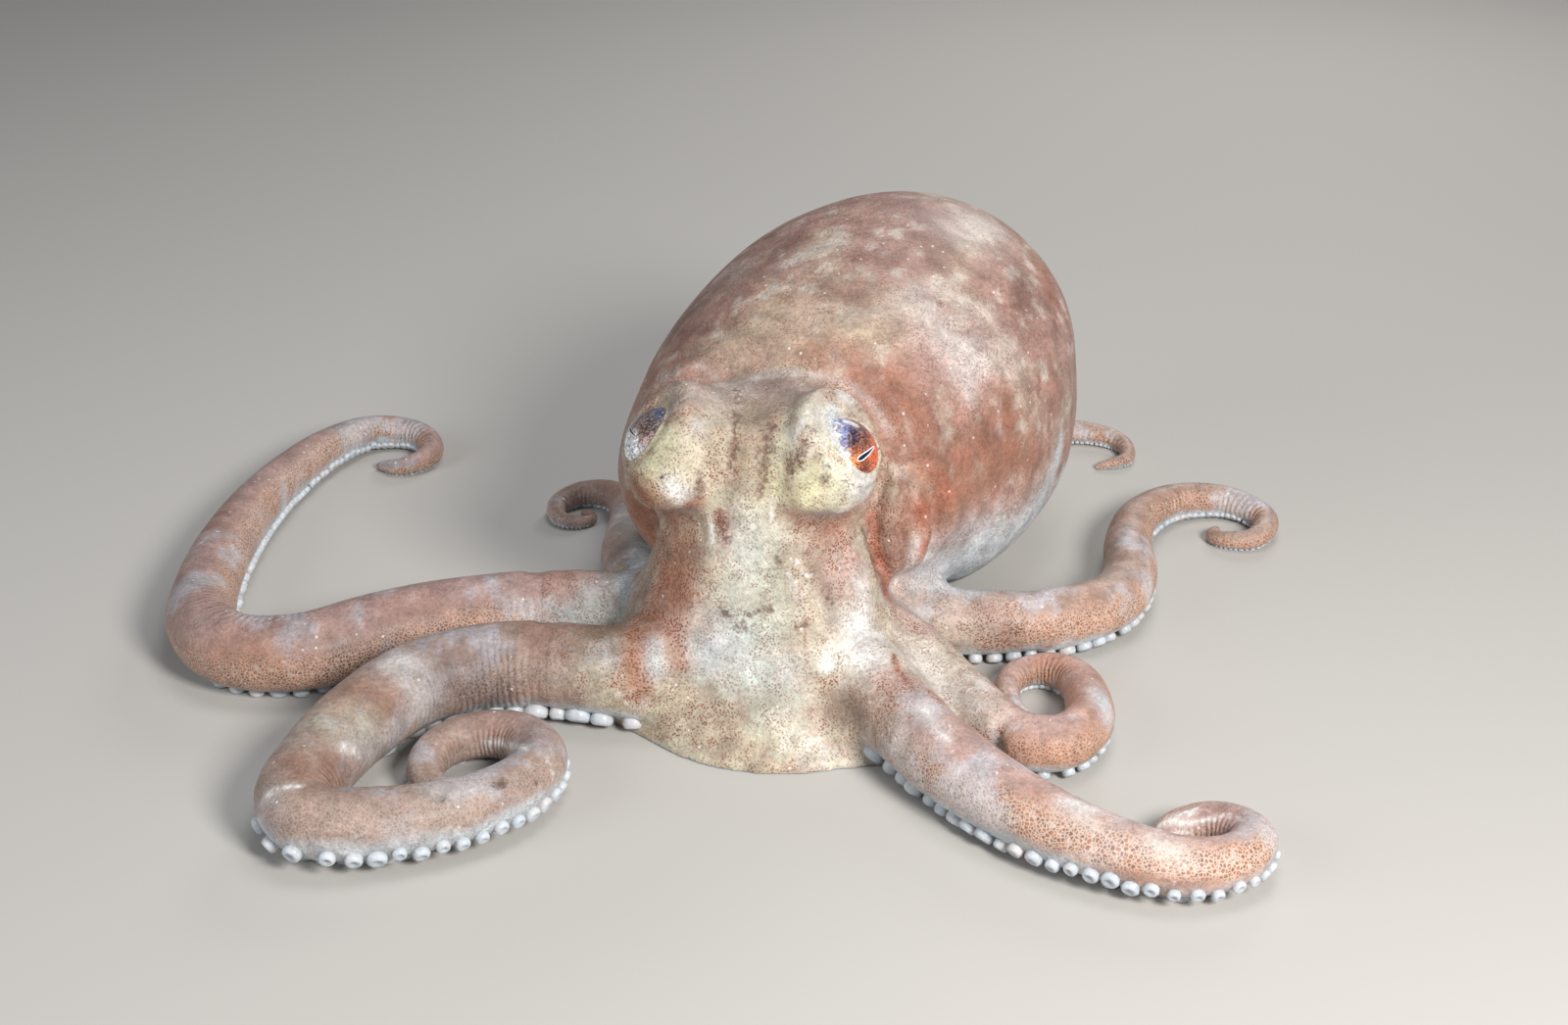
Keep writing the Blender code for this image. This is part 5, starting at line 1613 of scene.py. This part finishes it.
# the brown dots, in thicker and thinner patches
dot_distance = nodes.placed(speckle_effect, Place=place, Scale=DOT_SCALE)["Distance"]
dot_patches = nodes.placed(
    mottle_effect, Place=place, Scale=DOT_PATCH_SCALE, Detail=3, Start=0.38, Stop=0.62, Bottom=0.3,
    Top=1.0,
)["Shade"]
dots = nodes.maths("MULTIPLY", nodes.stepped(dot_distance, 0.12, 0.55, 0.95, 0.0), dots_share)
colour = nodes.mixed(nodes.maths("MULTIPLY", dots, dot_patches), colour, DOT)

# the furrows and creases, frayed by the grain
fray_value = nodes.stepped(grain["Cloud"], 0.3, 0.7, -0.9, 1.1)
fine = nodes.parts(nodes.attribute("fine"))
dark_line, pale_line = (
    nodes.stepped(nodes.maths("ADD", fine[name], fray_value), 0.1, 1.7, most, 0.0)
    for name, most in (("Red", 0.7), ("Green", 0.75))
)
colour = nodes.mixed(dark_line, colour, DARK_LINE)
colour = nodes.mixed(pale_line, colour, PALE_LINE)

# pale flecks in about a quarter of their cells
fleck = nodes.placed(speckle_effect, Place=place, Scale=FLECK_SCALE)
flecks = nodes.maths(
    "MULTIPLY", nodes.stepped(fleck["Distance"], 0.07, 0.15, 0.7, 0.0),
    nodes.stepped(fleck["Tone"], 0.74, 0.76, 0.0, 1.0),
)
colour = nodes.mixed(flecks, colour, FLECK)

# the relief: waves inside the bends, and how much each of the others stands out or lies deep
wander = nodes.stepped(mottle["Cloud"], 0, 1, 0, WAVE_WANDER)
wave = nodes.maths("MULTIPLY_ADD", nodes.attribute("station", "Fac"), WAVE_TURN, wander)
wave = nodes.maths("MULTIPLY", nodes.maths("SINE", wave), fold_share)
height = mottle["Cloud"]
for part, share in (
    (wave, 0.8), (grain["Cloud"], 0.35), (dot_distance, 0.22), (net_line, -0.2),
    (dark_line, -0.7), (pale_line, 0.4),
):
    height = nodes.maths("MULTIPLY_ADD", part, share, height)
nodes.feed(shader, (
    ("Base Color", colour), ("Normal", nodes.bump(height, 0.55, 0.00045)),
    ("Roughness", nodes.stepped(grain["Cloud"], 0.3, 0.7, 0.42, 0.6)), *SKIN_FINISH,
))


def finished(name, bm, paint, slot, *nodes):
    """A piece in metres from a mesh in millimetres, which rides on the still model."""
    bmesh.ops.translate(bm, vec=-FOOTPRINT_MIDDLE, verts=bm.verts)
    bmesh.ops.scale(bm, vec=(MM, MM, MM), verts=bm.verts)
    mesh = bpy.data.meshes.new(name)
    bm.to_mesh(mesh)
    bm.free()
    mesh.shade_smooth()
    mesh.materials.append(paint)
    obj = bpy.data.objects.new(name, mesh)
    bpy.context.scene.collection.objects.link(obj)
    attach(obj, "root")
    if nodes:
        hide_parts(*nodes)
    return obj


def lay(obj, name, *values):
    """Gives each point of a piece up to three values, which its material reads by name."""
    layer = obj.data.attributes.new(name, "FLOAT_COLOR", "POINT")
    blank = np.zeros(len(values[0]))
    columns = [*values, *[blank] * (3 - len(values)), blank + 1]
    layer.data.foreach_set("color", np.column_stack(columns).ravel())


flesh_nodes = [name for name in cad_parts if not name.startswith("eye")]
skin = finished("skin", body, skin_paint, "skin", *flesh_nodes)
lay(skin, "tint", *tint.T)
lay(skin, "detail", stipple, net, folds)
lay(skin, "fine", fine_dark, fine_pale)

# The suckers are soft cups of muscle in two rows under each arm, from the mouth to the tip, where
# they are tiny. Each one grows out of the arm on a short neck, with a rounded rim and a hollow.
SUCKER_FIRST = 6.0
SUCKER_SPACING = 0.26
SUCKER_SPLAY = 33.0
SUCKER_SPLAY_SPREAD = 7.0
SUCKER_RADIUS = 0.225
SUCKER_THIN_ARM = 1.0
SUCKER_LEAST = 0.16
SUCKER_SIZES = (0.76, 1.16)
SUCKER_SIDES = 10
SUCKER_SEED = 7
SUCKER_TIP_SPARE = 0.6
SUCKER_LEVEL = 0.02
# share of the sucker's height and of its radius, from the neck inside the arm to the hollow
SUCKER_PROFILE = (
    (-1.3, 0.75), (-0.2, 0.92), (0.25, 1.1), (0.62, 1.12), (0.9, 0.94), (1.0, 0.7), (0.86, 0.45),
    (0.62, 0.12),
)
# how deep in the hollow each ring of the profile lies
SUCKER_HOLLOW = (0.0, 0.0, 0.0, 0.0, 0.0, 0.25, 0.8, 1.0)
SUCKER_FLESH = (0.56, 0.61, 0.66)
SUCKER_BLUSH = (0.70, 0.58, 0.53, 1.0)
# the painted shade in the suckers' hollows
SUCKER_HOLLOW_SHADE = (0.42, 0.47, 0.53, 1.0)
SUCKER_FINISH = (
    ("Subsurface Weight", 0.35), ("Subsurface Scale", 0.0012),
    ("Subsurface Radius", (0.9, 0.8, 0.8)), ("IOR", 1.38), ("Coat Weight", 0.25),
    ("Coat Roughness", 0.2),
)


def sucker_places(arm):
    """Station, splay and size of every sucker in two rows, spaced by the arm's thickness."""
    chance = np.random.default_rng(SUCKER_SEED)
    fine = np.arange(SUCKER_FIRST, arm.length - SUCKER_TIP_SPARE, SPLINE_STEP)
    spent = np.cumsum([SPLINE_STEP / max(SUCKER_THIN_ARM, arm.radius(s)) for s in fine])
    count = int(spent[-1] / SUCKER_SPACING)
    places = []
    for number, value in enumerate(np.linspace(spent[0], spent[-1], count)):
        splay = SUCKER_SPLAY + chance.uniform(-SUCKER_SPLAY_SPREAD, SUCKER_SPLAY_SPREAD)
        station = float(np.interp(value, spent, fine))
        places.append((station, splay if number % 2 else -splay, chance.uniform(*SUCKER_SIZES)))
    return places


def sucker_pattern():
    """One cup of unit size, each point of it marked with how deep in the hollow it lies."""
    x, y = Vector((1, 0, 0)), Vector((0, 1, 0))
    cup = loft([
        ellipse(Vector((0, 0, height)), x, y, wide, wide, SUCKER_SIDES)
        for height, wide in SUCKER_PROFILE
    ])
    hollow = cup.verts.layers.float.new("hollow")
    for number, vert in enumerate(cup.verts):
        vert[hollow] = SUCKER_HOLLOW[min(number // SUCKER_SIDES, len(SUCKER_HOLLOW) - 1)]
    pattern = bpy.data.meshes.new("pattern")
    cup.to_mesh(pattern)
    cup.free()
    return pattern


def arm_suckers(arm):
    """All the suckers of one arm, each turned and sized for its place."""
    pattern = sucker_pattern()
    bm = bmesh.new()
    bm.verts.layers.float.new("hollow")
    for station, splay, size in sucker_places(arm):
        forward, _, oral = arm.frame(station)
        out = (Matrix.Rotation(math.radians(splay), 3, forward) @ oral).normalized()
        across = forward.cross(out).normalized()
        radius = arm.radius(station)
        wide = max(SUCKER_LEAST, SUCKER_RADIUS * radius * size)
        tall = max(SUCKER_LEAST, SUCKER_HEIGHT * radius)
        skin_point = arm.centre(station) + out * (radius * ARM_FLAT)
        before = len(bm.verts)
        bm.from_mesh(pattern)
        bm.verts.ensure_lookup_table()
        fresh = bm.verts[before:]
        for vert in fresh:
            x, y, z = vert.co
            vert.co = skin_point + across * (x * wide) + forward * (y * wide) + out * (z * tall)
            vert.co.z = max(vert.co.z, SUCKER_LEVEL)
    bpy.data.meshes.remove(pattern)
    bmesh.ops.recalc_face_normals(bm, faces=bm.faces)
    return bm


sucker_paint, nodes, shader, place = new_paint("suckers")
milky = nodes.placed(
    mottle_effect, Place=place, Scale=700, Detail=4, Start=0.3, Stop=0.7, Bottom=0.8, Top=1.12,
)
blush = nodes.placed(
    mottle_effect, Place=place, Scale=190, Detail=3, Start=0.45, Stop=0.75, Bottom=0.0, Top=0.6,
)["Shade"]
colour = nodes.mixed(blush, nodes.scaled(SUCKER_FLESH, milky["Shade"]), SUCKER_BLUSH)
# painted shade: each sucker's hollow is darkened, the more the deeper it lies
hollow = nodes.maths("MULTIPLY", nodes.attribute("hollow", "Fac"), 0.75)
colour = nodes.mixed(hollow, colour, SUCKER_HOLLOW_SHADE)
fine_grain = nodes.placed(
    mottle_effect, Place=place, Scale=2600, Detail=2, Start=0.0, Stop=1.0, Bottom=0.0, Top=1.0,
)["Cloud"]
nodes.feed(shader, (
    ("Base Color", colour), ("Normal", nodes.bump(fine_grain, 0.4, 0.0002)),
    ("Roughness", nodes.stepped(milky["Cloud"], 0.3, 0.7, 0.3, 0.5)), *SUCKER_FINISH,
))
for side_name in ("right", "left"):
    cups = joined([arm_suckers(arm) for name, arm in arms.items() if name.startswith(side_name)])
    finished("suckers_" + side_name, cups, sucker_paint, "skin")

# Each eye is a wet ball. Its iris is speckled with orange and brown and darkens to blue-black at
# the front corner, painted shade under the lid, where a bluish white shows. The pupil is a black
# slit in a white line. Each eye has its own colours, given at points along its long and short
# directions.
# the blue and blue-black points near each eye's front corner are painted shade under the lid
EYE_COLOURS = {
    1: (
        ((-5.1, 1.7), (0.62, 0.68, 0.8)), ((-4.0, -0.4), (0.62, 0.67, 0.8)),
        ((-2.6, -2.0), (0.62, 0.65, 0.76)), ((-0.6, -2.9), (0.66, 0.64, 0.66)),
        ((-3.7, 0.7), (0.2, 0.27, 0.5)), ((-2.3, -0.6), (0.13, 0.18, 0.42)),
        ((-0.9, -1.9), (0.16, 0.17, 0.33)), ((-3.2, 1.4), (0.02, 0.024, 0.06)),
        ((-1.7, 0.1), (0.03, 0.022, 0.04)), ((-0.6, -0.9), (0.04, 0.02, 0.025)),
        ((-4.2, 2.6), (0.7, 0.68, 0.7)), ((-2.0, 2.3), (0.085, 0.04, 0.034)),
        ((-2.4, 4.0), (0.1, 0.04, 0.03)), ((0.0, 1.0), (0.13, 0.043, 0.026)),
        ((0.8, -1.4), (0.3, 0.07, 0.02)), ((1.6, 3.6), (0.62, 0.085, 0.015)),
        ((-0.3, 4.2), (0.4, 0.07, 0.02)), ((1.9, -2.2), (0.62, 0.2, 0.06)),
        ((3.2, 1.6), (0.6, 0.085, 0.015)), ((3.4, -0.6), (0.14, 0.022, 0.01)),
        ((4.4, -0.4), (0.3, 0.08, 0.04)),
    ),
    -1: (
        ((-4.5, 1.5), (0.025, 0.04, 0.065)), ((-3.6, 0.9), (0.06, 0.1, 0.19)),
        ((-3.4, 2.6), (0.03, 0.045, 0.06)), ((-2.2, 0.2), (0.05, 0.05, 0.065)),
        ((-1.9, 1.6), (0.13, 0.11, 0.11)), ((-1.2, 3.4), (0.05, 0.05, 0.06)),
        ((-0.5, -1.0), (0.05, 0.035, 0.035)), ((-0.4, 1.0), (0.17, 0.115, 0.1)),
        ((0.3, 2.6), (0.26, 0.22, 0.21)), ((0.5, -1.8), (0.2, 0.12, 0.11)),
        ((0.8, 0.5), (0.45, 0.42, 0.42)), ((1.6, -1.2), (0.6, 0.64, 0.68)),
        ((2.2, 1.6), (0.82, 0.9, 0.95)), ((3.6, 0.4), (0.82, 0.9, 0.94)),
        ((1.6, 3.6), (0.74, 0.84, 0.9)),
    ),
}
# the slit's wide end, its thin end, and half its width at each
EYE_SLITS = {
    1: ((2.1, -1.4), (1.55, 2.5), 0.37, 0.02),
    -1: ((0.95, -0.45), (0.75, 3.3), 0.10, 0.2),
}
# width of the white line round the slit
SLIT_LINE = {1: 0.17, -1: 0.06}
EYE_SEGMENTS = 96
EYE_RINGS = 64
EYE_BRIGHT = (0.62, 0.36, 0.24, 1.0)
EYE_WHITE = (0.86, 0.90, 0.95, 1.0)
EYE_BLACK = (0.006, 0.010, 0.022, 1.0)
EYE_FINISH = (
    ("Roughness", 0.32), ("IOR", 1.38), ("Coat Weight", 1.0), ("Coat Roughness", 0.04),
    ("Coat IOR", 1.34),
)
# how near to its point, in millimetres, a colour stays strong, and how fast it then gives way
COLOUR_NEAR = 0.25
COLOUR_FALL = 4


def on_eyeball(sign, long_part, short_part):
    """The direction from the eye's centre to a point given along its long and short directions."""
    axis, long_way, short_way = eye_place(sign)[1:]
    rest = math.sqrt(max(0.0, EYE_RADIUS**2 - long_part**2 - short_part**2))
    return (long_way * long_part + short_way * short_part + axis * rest).normalized()


def eyeball(sign):
    """The ball of one eye, its pole at the middle of the eye."""
    centre, axis, long_way, short_way = eye_place(sign)
    bm = bmesh.new()
    bmesh.ops.create_uvsphere(bm, u_segments=EYE_SEGMENTS, v_segments=EYE_RINGS, radius=EYE_RADIUS)
    turn = Matrix((long_way, short_way * sign, axis)).transposed()
    bmesh.ops.transform(bm, matrix=Matrix.Translation(centre) @ turn.to_4x4(), verts=bm.verts)
    return bm


eye_paint, nodes, shader, place = new_paint("eye")
speck = nodes.placed(speckle_effect, Place=place, Scale=4200)
shade = nodes.maths(
    "MULTIPLY", nodes.stepped(speck["Tone"], 0.0, 1.0, 0.25, 1.8),
    nodes.placed(
        mottle_effect, Place=place, Scale=1700, Detail=3, Start=0.35, Stop=0.65, Bottom=0.7,
        Top=1.3,
    )["Shade"],
)
colour = nodes.scaled(nodes.attribute("tint"), shade)
bright = nodes.stepped(speck["Other_tone"], 0.72, 0.95, 0.0, 0.5)
colour = nodes.mixed(bright, colour, EYE_BRIGHT)
line_width, across, half_width = nodes.parts(nodes.attribute("slit")).values()[:3]
outside = nodes.maths("SUBTRACT", nodes.maths("ABSOLUTE", across), half_width)
past_line = nodes.maths("SUBTRACT", outside, line_width)
colour = nodes.mixed(nodes.stepped(past_line, -0.03, 0.03, 1.0, 0.0), colour, EYE_WHITE)
colour = nodes.mixed(nodes.stepped(outside, -0.01, 0.03, 1.0, 0.0), colour, EYE_BLACK)
nodes.feed(shader, (
    ("Base Color", colour), ("Normal", nodes.bump(speck["Tone"], 0.15, 0.0001)), *EYE_FINISH,
))

for sign, side_name in ((1, "left"), (-1, "right")):
    ball = finished("eye_" + side_name, eyeball(sign), eye_paint, "eye", "eye_" + side_name)
    centre = np.array(eye_place(sign)[0])
    outward = np.array([vert.co[:] for vert in ball.data.vertices]) / MM
    outward += np.array(FOOTPRINT_MIDDLE) - centre
    outward /= np.linalg.norm(outward, axis=1)[:, None]
    spots = np.array([on_eyeball(sign, *spot) for spot, _ in EYE_COLOURS[sign]])
    spot_colours = np.array([value for _, value in EYE_COLOURS[sign]])
    apart = np.linalg.norm(outward[:, None] - spots[None], axis=2) * EYE_RADIUS
    share = 1 / (apart + COLOUR_NEAR) ** COLOUR_FALL
    lay(ball, "tint", *(share @ spot_colours / share.sum(axis=1)[:, None]).T)

    # how far across the slit and along it each point lies, and how wide the slit is there;
    # it has no width on the far side of the ball
    wide_end, thin_end, wide_half, thin_half = EYE_SLITS[sign]
    ends = [np.array(on_eyeball(sign, *end)) for end in (wide_end, thin_end)]
    middle = (ends[0] + ends[1]) / np.linalg.norm(ends[0] + ends[1])
    along = (ends[1] - ends[0]) / np.linalg.norm(ends[1] - ends[0])
    half_length = np.linalg.norm(ends[1] - ends[0]) * EYE_RADIUS / 2
    share = outward @ along * EYE_RADIUS / half_length
    half_width = wide_half + (thin_half - wide_half) * np.clip(share / 2 + 0.5, 0, 1)
    half_width *= np.sqrt(np.clip(1 - share**4, 0, 1))
    half_width -= half_length * np.clip(np.abs(share) - 1, 0, None)
    half_width -= EYE_RADIUS * (outward @ middle < 0)
    across = outward @ np.cross(middle, along) * EYE_RADIUS
    lay(ball, "slit", np.full(len(outward), SLIT_LINE[sign]), across, half_width)
